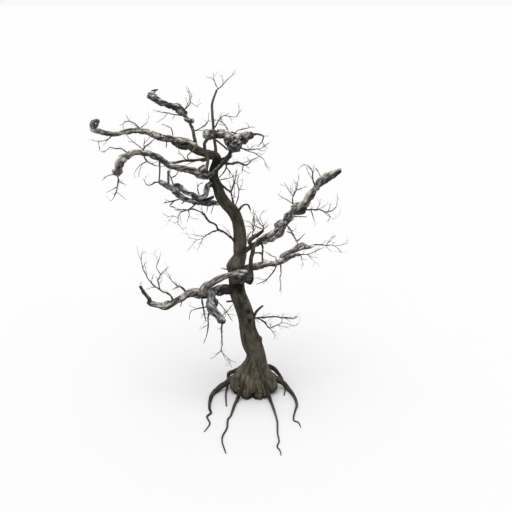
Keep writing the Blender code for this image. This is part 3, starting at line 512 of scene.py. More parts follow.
# Buttresses at the foot, as short limbs sunk into the flare: lobes and ridges in front, burrs at the sides.
BUTTRESSES = [
    [
        (-6, -10, 69, 2.5), (-10, -24, 53, 4.6), (-14, -35, 34, 6.4), (-16, -40, 20, 7.9), (-16, -42, 10, 7.3),
        (-15, -44, 4, 5.2),
    ],
    [(-2, -10, 69, 2.3), (-4, -26, 50, 3.1), (-7, -37, 30, 3.7), (-7, -41, 16, 4.1)],
    [(3, -11, 65, 2.3), (2, -28, 44, 2.9), (0, -37, 23, 3.5), (0, -39, 15, 3.1)],
    [
        (8, -10, 69, 2.5), (9, -26, 50, 3.9), (10, -36, 29, 6), (12, -40, 18, 7), (12, -42, 9, 6.6),
        (12, -44, 3, 4.8),
    ],
    [(13, -12, 61, 2.5), (17, -29, 40, 3.7), (21, -38, 21, 5), (23, -41, 11, 4.8), (23, -42, 6, 3.9)],
    [(-23, -5, 57, 5.2), (-33, -12, 35, 11), (-37, -15, 17, 13.7), (-35, -15, 11, 13.1)],
    [(-32, -22, 28, 5.2), (-34, -24, 16, 7.3), (-29, -27, 13, 6.3)],
    [(22, -5, 57, 5.2), (32, -12, 35, 11), (37, -15, 17, 13.7), (35, -15, 12, 13.1)],
    [(29, -22, 31, 5.2), (34, -24, 18, 7.3), (40, -22, 14, 5.2)],
    [(-7, -17, 59, 1.7), (-11, -28, 44, 2.1), (-16, -42, 28, 2.3)],
    [(1, -14, 62, 1.5), (-3, -27, 46, 1.9), (-5, -41, 25, 2.3)],
    [(6, -14, 62, 1.5), (6, -28, 46, 1.9), (8, -42, 26, 2.3)],
    [(11, -18, 59, 1.6), (15, -30, 43, 1.9), (17, -42, 26, 2.1)],
    [(-5, 22, 62, 6), (-16, 32, 36, 11), (-26, 38, 16, 13), (-28, 40, 10, 12)],
    [(7, 22, 62, 6), (16, 34, 38, 10), (24, 40, 17, 12), (26, 42, 10, 11)],
    [(-30, 14, 22, 9), (-38, 20, 13, 12)],
    [(30, 14, 22, 9), (38, 20, 13, 12)],
]
trunk_line = rounded_end(smooth_line(metres(TRUNK), TRUNK_SPACING))
parts = [limb_part(trunk_line, TRUNK_SIDES, trunk_relief, flare)]
for points in BUTTRESSES:
    line = rounded_end(smooth_line(metres(points), BUTTRESS_SPACING))
    parts.append(limb_part(line, BUTTRESS_SIDES, foot_relief))
trunk = limbs_mesh("trunk_bark", parts)
places, normals = vectors(trunk, "co"), vectors(trunk, "normal")
lightness = np.concatenate([part[2] for part in parts])
for *marks, lighter in KNOBS:
    *middle, reach, height = metres(marks)
    share = near(places, middle, reach)
    places = places + normals * (height * share)[:, None]
    # Below zero this is painted shade in hollows and the painted shadow under the crossing bough; above zero,
    # paler knots and bumps.
    lightness = lightness + lighter * share
places[:, 2] = np.maximum(places[:, 2], 0.0)
trunk.vertices.foreach_set("co", places.reshape(-1))
# Painted shade near the ground.
lightness = lightness - GROUND_SHADE * np.clip(1.0 - places[:, 2] / GROUND_SHADE_TOP, 0.0, 1.0)
trunk.attributes["tone"].data.foreach_set("value", np.clip(lightness, 0.0, 1.0).astype(np.float32))
trunk.update()
warmth = trunk.attributes.new("warm", "FLOAT", "POINT")
redness = sum(how_warm * near(places, middle, reach) for middle, reach, how_warm in WARM_BARK)
warmth.data.foreach_set("value", np.clip(redness, 0.0, 1.0).astype(np.float32))
add_piece(trunk, OLD_BARK, "bark", "trunk")
print("trunk:", len(trunk.polygons), "faces,", round(length_along(trunk_line)[-1], 2), "m along its heart")

# %% [markdown]
# ## The surface roots
# Seven roots arch off the flare and then lie on the ground. On the front of the flare two of them can be
# followed up over the buttresses nearly to the waist, so their lines start there. They are smoother and a
# little darker than the trunk, with the grain running along them and small kinks where they once met a stone.

# %% Roots
ROOT_SIDES, ROOT_SPACING = 32, 0.012
ROOT_SHADE = 0.12  # How much darker the roots are than the trunk.
LYING = 0.96  # How high the middle of a lying root is, as a share of its radius: it is sunk in a little.
ROOTS = {
    "root_front_left": [
        (-5, -20, 74, 2), (-8, -22, 62, 2.8), (-14, -29, 46, 3.6), (-20, -37, 32, 4.2), (-26, -43, 20, 4.4),
        (-32, -48, 9, 4.2), (-38, -62, 0, 3.1), (-43, -90, 0, 2.4), (-46, -108, 0, 1.9), (-51, -120, 0, 1.9),
        (-52, -150, 0, 1.7), (-59, -176, 0, 1.6), (-59, -195, 0, 1.4), (-55, -213, 0, 1.3), (-51, -229, 0, 1),
    ],
    "root_front_right": [
        (5, -19, 74, 2), (10, -23, 60, 2.8), (15, -29, 46, 3.6), (22, -35, 33, 4.2), (28, -42, 20, 4.4),
        (32, -48, 8, 4), (36, -62, 0, 2.9), (41, -90, 0, 2.3), (44, -110, 0, 1.8), (46, -130, 0, 1.7),
        (45.5, -168, 0, 1.5), (47.5, -192, 0, 1.4), (43.5, -210, 0, 1.3), (48, -220, 0, 1.1),
        (50, -235, 0, 0.8),
    ],
    "root_side_left": [
        (-16, 2, 44, 8), (-28, 2, 35, 8.5), (-40, 1, 27, 7.5), (-57, -4, 17, 6.2), (-74, -10, 7, 5.5),
        (-87, -30, 0, 4.3), (-90.5, -56, 0, 3.3), (-90, -81, 0, 2.5), (-86, -97, 0, 2.2), (-93, -110, 0, 1.7),
        (-90, -120, 0, 1.5), (-86, -134, 0, 1.5), (-90, -149, 0, 1.1), (-95, -161, 0, 0.8),
    ],
    "root_side_right": [
        (16, 3, 46, 7.5), (29, 4, 36, 7.5), (40, 2, 28, 6.4), (54, 0, 19, 5.6), (67, -4, 10, 5),
        (78, -20, 0, 4), (86, -47, 0, 3.2), (87, -72, 0, 2.5), (83, -90, 0, 2), (79, -111, 0, 1.7),
        (79, -124, 0, 1.5), (87, -130, 0, 1.3), (91, -146, 0, 0.8),
    ],
    "root_back_left": [
        (-8, 8, 50, 5.5), (-22, 16, 40, 4.7), (-32, 22, 35, 4.5), (-45, 30, 24, 4.3), (-54, 36, 16, 4.1),
        (-56, 36, 8, 3.5), (-56, 31, 0, 2.8), (-57, 10, 0, 2.4), (-59, -23, 0, 1.9), (-58, -46, 0, 1.6),
        (-56, -71, 0, 1.1),
    ],
    "root_back_right": [
        (8, 6, 54, 6), (23, 12, 43, 5.7), (31, 20, 42, 5.3), (39, 29, 34, 4.8), (46, 39, 23, 4.5),
        (52, 45, 12, 4), (57, 47, 4, 3.4), (61, 36, 0, 2.6), (64, 12, 0, 2.1), (67, 2, 0, 1.9),
        (65, -15, 0, 1.5), (63, -31, 0, 1),
    ],
    "root_back": [
        (1, 14, 44, 7), (1, 24, 32, 7.2), (2, 44, 19, 5.7), (5, 68, 6, 4.5), (8, 95, 0, 3.6), (5, 120, 0, 2.8),
        (3, 142, 0, 2), (4, 158, 0, 1.3),
    ],
}


def root_relief(bark, radius, line):
    """Grain along the root, soft knots and a few splits."""
    bark = bark + line[0, :3] * 3.0
    knots = noise(bark * (9.0, 9.0, 7.0), 21)
    grain = ridges(bark * (42.0, 42.0, 7.0), 23)
    skin = noise(bark * (110.0, 110.0, 60.0), 25)
    splits = clefts(bark * (24.0, 24.0, 3.5), 27, 0.12)
    out = radius * (0.10 * knots + 0.06 * grain - 0.10 * splits) + 0.0008 * skin
    # The tone is darker in the splits and the hollows of the grain, as painted shade.
    return out, 0.42 + 0.14 * knots + 0.14 * grain + 0.08 * skin - 0.30 * splits


for name, points in ROOTS.items():
    line = rounded_end(smooth_line(metres(points), ROOT_SPACING))
    line[:, 2] = np.maximum(line[:, 2], line[:, 3] * LYING)
    part = limb_part(line, ROOT_SIDES, root_relief)
    part[2][:] -= ROOT_SHADE
    add_piece(limbs_mesh(name + "_bark", [part]), OLD_BARK, "bark", name)
print("roots:", len(ROOTS))

# %% [markdown]
# ## The weathered boughs
# The boughs are the tree's character: bare, lumpy and split, as if wrung out. Three sizes of relief make them:
# lumps about as long as the bough is thick, deep splits that run along the grain with a slight turn, and the
# raised fibres between. Each bough has its own roughness, and stays dark for some way out from what carries it.
# A few thin ones keep their bark and get the roots' relief instead.

# %% Bough lines
# Name: finish, roughness (under bark, how much lighter), metres that stay dark, and points.
BOUGHS = {
    "bough_right": ("pale", 0.9, 0.25, [
        (-22, 0, 309, 5), (-4, -8, 323, 4.5), (8, -12, 332, 4.7), (18, -15, 339, 5.5), (28, -19, 345, 6.6),
        (38, -23, 352, 7.5), (48, -28, 361, 7.5), (56, -31, 374, 6.5), (63, -34, 385, 6.1), (70, -38, 397, 6),
        (78, -42, 407, 6.2), (86, -48, 416, 6.7), (94, -55, 425, 6.5), (101, -59, 433, 6.5),
        (105, -62, 443, 5.7), (110, -65, 452, 4.9), (114, -68, 460, 5.3), (121, -72, 468, 6.2),
        (128, -77, 476, 6.5), (138, -83, 484, 6.1), (146, -88, 491, 4.8), (153, -91, 495, 3.7),
    ]),
    "bough_burl": ("pale", 1, 0.25, [
        (-66, 2, 492, 4.4), (-55, 5, 496, 3.8), (-46, 5, 501, 3.4), (-45, 5, 508, 3.6), (-42, 5, 514, 8),
        (-39, 5, 522, 14.1), (-35, 5, 528, 13.2), (-26, 5, 534, 10.3), (-16, 6, 536, 8.5), (-9, 6, 540, 7),
        (-5, 8, 540, 4.7),
    ]),
    "bough_burl_left": ("pale", 0.9, 0, [
        (-35, 4, 532, 8.5), (-46, -2, 538, 8), (-57, -7, 545, 7.8), (-67, -12, 546, 6.5), (-76, -17, 547, 7.4),
        (-84, -22, 548, 8.3), (-89, -25, 548, 6.6),
    ]),
    "bough_bent_left": ("pale", 0.65, 0.8, [
        (-46, 3, 503, 4), (-52, -4, 496, 4.3), (-63, -14, 486, 3.9), (-76, -26, 476, 4.1), (-85, -33, 471, 4.8),
        (-91, -38, 472, 6.5), (-100, -43, 478, 6.8), (-110, -50, 484, 6.4), (-125, -58, 490, 5.5),
        (-138, -65, 494, 5.2), (-151, -72, 499, 4.8), (-158, -77, 506, 4.8), (-165, -82, 513, 5.3),
        (-172, -86, 519, 5.6), (-183, -93, 525, 4.9), (-193, -99, 528, 4.9), (-206, -105, 530, 5),
        (-215, -110, 528, 5.4), (-222, -113, 524, 5.9), (-227, -116, 520, 6.6),
    ]),
    "bough_bent_left_drop": ("pale", 0.6, 0, [
        (-225, -115, 521, 6.2), (-230, -117, 516, 7.1), (-233, -119, 509, 6.4), (-234, -120, 504, 6),
        (-235, -120, 501, 7.3), (-236, -120, 499, 8), (-236, -120, 496, 7.4),
    ]),
    "bough_double_left_lower": ("cool", 0.7, 0.1, [
        (-56, -2, 409, 3.5), (-67, 0, 409, 3.9), (-83, 8, 407, 4.7), (-101, 16, 405, 4.5), (-118, 24, 405, 4.3),
        (-132, 30, 408, 4.7), (-144, 35, 413, 5.5), (-154, 40, 420, 5.9), (-164, 44, 428, 5.8),
        (-177, 49, 434, 5), (-187, 54, 438, 4.4),
    ]),
    "bough_double_left_upper": ("cool", 0.8, 0.25, [
        (-80, -6, 449, 5.1), (-88, -12, 446, 5.3), (-90, -16, 438, 5.1), (-93, -17, 429, 4.4),
        (-104, -13, 424, 4.8), (-116, -7, 428, 5), (-127, -2, 429, 4.2), (-136, 4, 434, 4.8),
        (-143, 10, 438, 5.2), (-152, 15, 441, 4.1),
    ]),
    "bough_high_left": ("pale", 0.8, 0.9, [
        (-135, 86, 570, 4.5), (-142, 92, 572, 6.3), (-149, 96, 575, 6.9), (-159, 102, 578, 6.2),
        (-171, 109, 582, 5.2), (-185, 120, 585, 5.8), (-196, 129, 590, 6.3), (-206, 136, 592, 5.5),
        (-210, 140, 596, 5.5), (-206, 142, 599, 5.1), (-203, 146, 602, 3.1), (-202, 148, 604, 2.4),
    ]),
    "bough_high_left_stem": ("dark", 0.5, 0, [
        (-111, 17, 515, 3.4), (-113, 26, 529, 3.1), (-116, 34, 543, 2.9), (-122, 48, 554, 2.9),
        (-129, 62, 562, 3.1), (-139, 80, 569, 3.9),
    ]),
    "bough_top_left": ("pale", 0.85, 0, [
        (-110, 16, 519, 4.8), (-122, 22, 522, 5.3), (-134, 28, 524, 5.7), (-150, 36, 524, 6.4),
        (-166, 44, 526, 6), (-182, 52, 528, 5.8), (-197, 58, 532, 5.7), (-209, 63, 536, 5.3),
        (-224, 69, 537, 5.1), (-238, 75, 536, 5.1), (-251, 80, 534, 4.8), (-264, 86, 530, 4.8),
        (-277, 90, 527, 4.4), (-288, 93, 527, 4.6), (-303, 100, 529, 4.8), (-316, 103, 531, 4.8),
        (-324, 106, 533, 4.2), (-326, 107, 538, 3.4), (-327, 108, 543, 3.2), (-325, 110, 548, 3.2),
        (-320, 110, 550, 3.2), (-316, 111, 550, 3.2), (-313, 110, 548, 2.8), (-315, 109, 545, 2.4),
    ]),
    "bough_front_crossing": ("pale", 0.3, 0, [
        (-26, 0, 247, 5.9), (-13, -12, 258, 6), (-15, -20, 271, 6.1), (-24, -22, 273, 6.3),
        (-35, -24, 272, 5.3), (-49, -27, 270, 5.3), (-61, -30, 267, 5.7), (-72, -31, 262, 6.7),
        (-82, -34, 256, 6.5), (-93, -37, 252, 7.1), (-99, -40, 245, 8), (-102, -43, 236, 7.4),
    ]),
    "bough_front_leg": ("cool", 0.4, 0.1, [
        (-84, -20, 233, 8), (-84, -28, 228, 8.3), (-85, -36, 222, 7.7), (-86, -42, 215, 8.7),
        (-84, -47, 209, 8.9), (-77, -52, 203, 8.1), (-69, -58, 197, 7.4), (-63, -64, 190, 7.6),
    ]),
    "bough_left_low": ("pale", 0.7, 1.1, [
        (-28, 12, 225, 10.2), (-44, 2, 228, 10.1), (-56, -5, 230, 9.5), (-77, -12, 230, 8.6),
        (-96, -19, 226, 8.2), (-109, -25, 230, 8.5), (-124, -30, 234, 7.7), (-144, -38, 225, 6.9),
        (-163, -46, 217, 6.7), (-175, -51, 214, 7.1), (-189, -57, 219, 5.7), (-201, -62, 224, 5.2),
    ]),
    "bough_right_low": ("pale", 0.6, 0.3, [
        (-24, 10, 268, 6.8), (-8, 22, 267, 7.3), (6, 32, 266, 6.9), (19, 41, 267, 6), (33, 52, 265, 5.6),
        (46, 62, 262, 5.4), (59, 74, 263, 5.9), (72, 88, 264, 4.5), (88, 105, 264, 3.8), (97, 115, 262, 3.4),
    ]),
    "bough_right_low_prong": ("pale", 0.6, 0, [
        (60, 74, 264, 3.8), (58, 74, 271, 4.2), (64, 76, 276, 4.6), (74, 79, 279, 4.8), (84, 84, 283, 5.5),
        (96, 90, 288, 7), (106, 95, 288, 6.1), (115, 100, 284, 4), (121, 103, 284, 2.8), (127, 105, 287, 2),
    ]),
    "bough_right_drop": ("bark", 0, 0, [
        (-1, -10, 326, 4.1), (-2, -18, 315, 4.3), (-5, -23, 305, 4.1), (-6, -27, 294, 4.3), (-6, -30, 282, 4.9),
        (-7, -31, 272, 6.3), (-9, -32, 264, 7.5),
    ]),
    "bough_right_prong": ("bark", 0, 0, [
        (-4, -9, 326, 3.3), (-8, -13, 333, 4.1), (-7, -17, 340, 4.3), (0, -22, 347, 3.8), (9, -28, 355, 3.5),
        (17, -35, 364, 2.9),
    ]),
    "bough_spire": ("bark", 0.22, 0, [
        (-72, 5, 497, 3.2), (-72, 5, 514, 2.8), (-74, 2, 532, 2.7), (-75, -2, 555, 2.5), (-76, -8, 581, 2.3),
        (-76, -10, 598, 2.2), (-73, -10, 610, 2), (-67, -8, 625, 1.8),
    ]),
}


# %% Bough relief
BOUGH_SIDES, BARKED_SIDES, BOUGH_SPACING = 56, 40, 0.009
BOUGH_SEED, BOUGH_BENDS = 7, 0.010
GRAIN_TURN = 2.2  # How far the grain turns round a bough in a metre, in radians.
MIDDLE_TONE = 0.36  # The tone of smooth wood, which a rough bough departs from both ways.
DARK_SHADE = 0.34  # How much darker a bough is near what carries it.


def wood_relief(rough, dark):
    """A relief function for bare wood: lumps with creases between them, splits and raised fibres."""

    def relief(bark, radius, line):
        girth = float(np.median(line[:, 3]))
        turn = bark[..., 2] * GRAIN_TURN
        turned = bark.copy()
        turned[..., 0] = bark[..., 0] * np.cos(turn) - bark[..., 1] * np.sin(turn)
        turned[..., 1] = bark[..., 0] * np.sin(turn) + bark[..., 1] * np.cos(turn)
        turned = turned + line[0, :3] * 3.0
        lumps = bulges(turned * (0.8 / girth, 0.8 / girth, 0.5 / girth), 31)
        knuckles = bulges(turned * (17.0, 17.0, 7.0), 33)
        splits = clefts(turned * (21.0, 21.0, 4.5), 35, 0.20)
        blotches = noise(turned * (26.0, 26.0, 8.0), 41)
        fibres = ridges(turned * (52.0, 52.0, 6.0), 37)
        skin = noise(turned * (120.0, 120.0, 60.0), 39)
        out = 0.62 * lumps + 0.42 * knuckles - 0.33 - 0.26 * splits + 0.08 * blotches + 0.06 * fibres
        # The tone follows the relief: pale on lumps and knuckles, as painted light, and dark in the creases and
        # splits, as painted shade. Blotches, fibres and skin add the wood's own random tone.
        tone = 0.02 + 0.50 * lumps + 0.50 * knuckles - 0.45 * splits
        tone = MIDDLE_TONE + rough * (tone - MIDDLE_TONE) + 0.20 * blotches + 0.15 * fibres + 0.06 * skin
        if dark:
            tone = tone - DARK_SHADE * np.clip(1.6 - 1.6 * bark[..., 2] / dark, 0.0, 1.0)
        return rough * radius * out + 0.0008 * skin, tone

    return relief


dice = np.random.default_rng(BOUGH_SEED)
for name, (finish, rough, dark, points) in BOUGHS.items():
    line = crooked(smooth_line(metres(points), BOUGH_SPACING), dice, BOUGH_BENDS * rough)
    line = rounded_start(rounded_end(line))
    if finish == "bark":
        slot, part = "bark", limb_part(line, BARKED_SIDES, root_relief)
        part[2][:] += rough
    else:
        slot, part = "weathered_wood", limb_part(line, BOUGH_SIDES, wood_relief(rough, dark))
    add_piece(limbs_mesh(name + "_wood", [part]), FINISHES[finish], slot, name)
print("boughs:", len(BOUGHS))

# %% [markdown]
# ## Knobs, lumps and stubs
# A bough that has shed its branches keeps the scars: swollen knobs, sleeves of wood that have peeled back, and
# snapped stubs. They could be pushed out of the bough's own surface, but a deep fold between two lumps needs
# surfaces that overlap. So each is a short fat limb of its own, sunk into the bough that carries it.

# %% Knob lines
# Finish: names and points. In the dark finish, double_under and sleeve_lumps are dark wood set under boughs as
# painted shade; in the pale finish, double_pale is painted light along the top of the lower double bough.
LUMPS = {
    "pale": {
        "arm_lump_low": [(18, -20, 336, 3.5), (27, -24, 341, 4.4), (36, -28, 346, 4.8), (43, -30, 351, 4)],
        "arm_shell": [(7, -14, 338, 2.5), (16, -17, 344, 3.3), (26, -20, 350, 3.7), (36, -24, 357, 2.9)],
        "arm_lump_mid": [(42, -28, 373, 3.8), (49, -30, 377, 5.9), (58, -33, 380, 5.3)],
        "arm_lump_high": [(73, -43, 413, 3.9), (81, -47, 417, 5.8), (89, -52, 421, 5.8), (96, -56, 427, 4.3)],
        "arm_lump_neck": [(99, -58, 441, 3.7), (103, -61, 445, 4.6), (108, -64, 451, 3.7)],
        "stem_knob": [(-133, 64, 560, 3.1), (-126, 58, 559, 4.5), (-119, 55, 559, 4.3)],
        "sleeve_lip": [(-116, 19, 524, 2.5), (-126, 21, 526, 3.2), (-138, 27, 526, 3.3)],
        "burl_knob": [(-25, 3, 534, 5.1), (-17, 2, 538, 7.3), (-10, 3, 541, 6.6), (-6, 6, 543, 4.3)],
        "burl_top": [(-52, 0, 546, 3.4), (-43, 2, 542, 4.3), (-31, 3, 538, 4.1), (-24, 4, 535, 3.4)],
        "high_head": [
            (-213, 138, 594, 4.5), (-210, 138, 598, 5.1), (-203, 139, 597, 4.7), (-199, 139, 593, 3.7),
        ],
        "high_shelf": [(-145, 93, 582, 2.6), (-153, 98, 583, 3.8), (-161, 103, 583, 3)],
        "low_knot": [(-178, -52, 214, 5.5), (-173, -50, 216, 6.9), (-168, -48, 220, 5.5)],
        "leg_top": [(-91, -20, 232, 3.4), (-84, -20, 235, 4), (-76, -20, 232, 3)],
        "cross_lump": [(-29, -24, 268, 3.9), (-23, -22, 264, 4.9), (-15, -16, 260, 3.8)],
        "cross_lip": [(-81, -34, 252, 2.6), (-88, -36, 250, 2.9), (-93, -38, 248, 2.6)],
        "cross_spur": [(-73, -31, 263, 2.9), (-69, -30, 269, 1.4)],
        "prong_crest": [(91, 88, 292, 2.7), (101, 92, 294, 3.6), (110, 97, 290, 2.8)],
        "burl_fold": [(-41, -4, 538, 3.7), (-36, -7, 532, 5), (-31, -6, 525, 5.6), (-26, -2, 519, 4.3)],
        "burl_left_lump": [(-88, -26, 546, 4.6), (-81, -22, 544, 5.5), (-74, -18, 542, 4.2)],
        "burl_mid_lump": [(-65, -10, 551, 4.1), (-58, -8, 549, 4.8), (-50, -5, 546, 4.3)],
        "cross_fold": [(-21, -25, 267, 2.6), (-17, -25, 263, 3), (-15, -24, 258, 2.4)],
        "bell": [(-242, -119, 500, 3.6), (-235, -121, 498, 5.2), (-229, -119, 500, 3.6)],
        "double_pale": [
            (-138, 29, 413, 2.8), (-125, 24, 409, 3.2), (-109, 16, 409, 3.2), (-91, 8, 410, 3.2),
            (-76, 2, 412, 2.7),
        ],
        "curl_core": [(-324, 112, 545, 1.4), (-322, 112, 541, 2.2), (-322, 112, 537, 2.2)],
    },
    "cool": {
        "arm_lump_green": [(59, -34, 385, 4.4), (64, -37, 392, 7.2), (70, -40, 400, 6), (74, -42, 406, 3.8)],
        "fork_knob": [(-100, -43, 480, 4.6), (-96, -43, 487, 5), (-91, -42, 490, 4.8)],
        "burl_heart": [(-51, -2, 534, 5), (-45, -5, 529, 6.9), (-39, -5, 522, 7.5), (-32, -2, 516, 5.6)],
        "burl_chin": [(-47, -3, 518, 4.1), (-40, -3, 514, 4.7), (-29, 0, 513, 4.3)],
        "leg_end": [(-67, -61, 194, 6.8), (-63, -64, 191, 8.2), (-60, -66, 189, 5.9)],
        "cross_sleeve": [(-30, -24, 275, 4.9), (-23, -24, 275, 6.5), (-15, -22, 272, 5.9), (-12, -20, 267, 4)],
        "arm_tip_shell": [(112, -70, 462, 2.7), (117, -73, 471, 4), (125, -77, 478, 3.8), (132, -81, 483, 2.7)],
    },
    "dark": {
        "arm_lobe": [(76, -44, 404, 3.6), (84, -48, 406, 4.9), (91, -53, 410, 5), (96, -56, 416, 3.5)],
        "arm_spur": [(111, -68, 454, 3.1), (118, -70, 457, 2.2)],
        "double_knob": [(-153, 13, 441, 3.3), (-145, 10, 441, 4.4), (-138, 5, 435, 3.9)],
        "sleeve_lumps": [
            (-125, 20, 515, 4.2), (-134, 23, 514, 5.2), (-145, 28, 517, 4.8), (-155, 34, 521, 3.9),
        ],
        "double_under": [
            (-117, -5, 422, 2.9), (-103, -10, 419, 3.6), (-89, -14, 420, 3.6), (-78, -12, 425, 2.9),
        ],
        "high_dark": [(-134, 82, 571, 3.9), (-142, 87, 570, 4.7), (-152, 95, 573, 4)],
        "leg_dark": [(-80, -35, 225, 3), (-74, -38, 220, 3.6), (-73, -42, 215, 3.4), (-76, -45, 211, 2.6)],
        "burl_end": [(-9, -2, 538, 3.9), (-5, -1, 540, 4.9), (-2, 1, 542, 3.6)],
        "burl_notch": [(-20, -4, 531, 3.4), (-17, -4, 529, 3.9), (-14, -3, 531, 3.2)],
        "fork_dark": [(-98, -42, 481, 3.1), (-92, -40, 480, 3.3), (-86, -37, 480, 3.1)],
        "hook": [
            (-203, -62, 226, 4.5), (-202, -63, 232, 3.7), (-206, -64, 240, 3.1), (-211, -66, 250, 2.5),
            (-216, -68, 259, 2.2), (-218, -68, 263, 1.9),
        ],
        "drop_elbow": [(-4, -31, 273, 3.9), (-7, -33, 267, 6.9), (-11, -34, 263, 8), (-14, -33, 262, 5.9)],
        "high_hat": [(-208, 148, 605, 1.3), (-202, 148, 606, 1.9), (-196, 148, 607, 1.3)],
        "burl_under": [(-87, -21, 541, 2.4), (-77, -16, 541, 3.1), (-66, -10, 541, 3.3), (-54, -4, 538, 2.8)],
        "burl_cap": [(-41, 0, 546, 2.1), (-35, 0, 543, 2.8), (-28, 1, 540, 2.4)],
        "arm_tip_under": [
            (126, -78, 468, 2.3), (135, -84, 478, 3.2), (144, -90, 486, 3.2), (153, -94, 494, 2.7),
        ],
        "arm_neck_dark": [(103, -61, 433, 2.8), (108, -64, 440, 3.3), (111, -67, 449, 2.7)],
        "curl_tongue": [
            (-314, 108, 548, 2.2), (-315, 106, 543, 2.8), (-318, 105, 539, 2.8), (-322, 105, 536, 2.4),
        ],
    },
}
# Beads of the burl: finish, x, z and radius. Each is a small lump of three points, which rises to the right.
BEADS = [
    ("pale", -46, 540, 2.8), ("pale", -41, 535, 2.6), ("pale", -30, 539, 3), ("pale", -34, 533, 2.6),
    ("pale", -28, 530, 2.8), ("pale", -51, 539, 2.8), ("pale", -51, 532, 2.6), ("pale", -43, 525, 2.6),
    ("pale", -34, 523, 2.6), ("dark", -37, 538, 2.2), ("dark", -36, 528, 2.6), ("dark", -45, 529, 2.4),
    ("dark", -39, 521, 2.6), ("dark", -30, 524, 2.4),
]
for number, (finish, x, z, radius) in enumerate(BEADS):
    left, right = ((x + 1.6 * side, -10, z + 1.1 * side, 0.8 * radius) for side in (-1, 1))
    LUMPS[finish][f"bead_{number}"] = [left, (x, -12, z, radius), right]
# Stubs that keep their bark: how much lighter, and points.
STUBS = [
    (0.16, [(-167, -82, 511, 1.7), (-167, -85, 493, 1.5), (-169, -86, 473, 1.2)]),
    (0.16, [(-169, 46, 434, 2.3), (-169, 46, 448, 2.2), (-169, 46, 462, 1.8)]),
    (0.16, [(-37, 5, 200, 2.2), (-47, -1, 203, 2.2), (-55, -5, 204, 2.2)]),
    (0.16, [(1, 0, 170, 3.1), (5, -6, 182, 2.7), (12, -10, 192, 2.4), (18, -12, 198, 2)]),
    (0.16, [(0, -20, 314, 1.8), (8, -18, 314, 1.6), (17, -18, 313, 1.6)]),
    (0.16, [
        (-90, -35, 475, 3.3), (-88, -31, 484, 3.3), (-86, -28, 492, 3.2), (-85, -25, 499, 3),
        (-87, -22, 507, 3.2), (-90, -20, 514, 3.2), (-91, -19, 521, 3.2), (-91, -18, 529, 3.1),
        (-87, -17, 535, 3), (-83, -17, 539, 2.8),
    ]),
    (0.16, [(-76, 0, 535, 1.8), (-65, 2, 527, 1.8), (-50, 5, 513, 1.8)]),
    (0.00, [
        (-158, -74, 504, 2), (-147, -60, 501, 2), (-135, -40, 500, 2), (-122, -25, 499, 2.1),
        (-107, -10, 496, 2.3), (-90, 0, 497, 2.5),
    ]),
    (0.00, [(-47, -8, 259, 4), (-43, -12, 254, 7.4), (-35, -13, 254, 7.4), (-26, -14, 259, 5)]),
]

# %% Knobs and stubs
LUMP_SIDES, LUMP_SPACING, LUMP_ROUNDING, LUMP_ROUGHNESS = 40, 0.008, 0.9, 0.9
STUB_SIDES, STUB_SPACING, STUB_ROUNDING = 16, 0.010, 0.5


def short_limb(points, spacing, share):
    """The line of a short limb, which is rounded at both ends."""
    return rounded_start(rounded_end(smooth_line(metres(points), spacing), share), share)


for finish, title in (("pale", "silver_lumps"), ("cool", "cool_lumps"), ("dark", "dark_lumps")):
    lines = [short_limb(points, LUMP_SPACING, LUMP_ROUNDING) for points in LUMPS[finish].values()]
    parts = [limb_part(line, LUMP_SIDES, wood_relief(LUMP_ROUGHNESS, 0.0)) for line in lines]
    add_piece(limbs_mesh(title, parts), FINISHES[finish], "weathered_wood")
parts = []
for lighter, points in STUBS:
    parts.append(limb_part(short_limb(points, STUB_SPACING, STUB_ROUNDING), STUB_SIDES, root_relief))
    parts[-1][2][:] += lighter
add_piece(limbs_mesh("bark_stubs", parts), OLD_BARK, "bark")
print("lumps:", sum(map(len, LUMPS.values())), "stubs:", len(STUBS))

# %% [markdown]
# ## Where the sprays of twigs set out
# Each spray is a crooked stem with a few forks, and it leaves a bough or the trunk at the first point of its
# stem. A dead crown is mostly air, so these lines matter more than the number of twigs. The ones in the first
# table take the place of the solid model's masses; those in the second are lone twigs too slight for it.

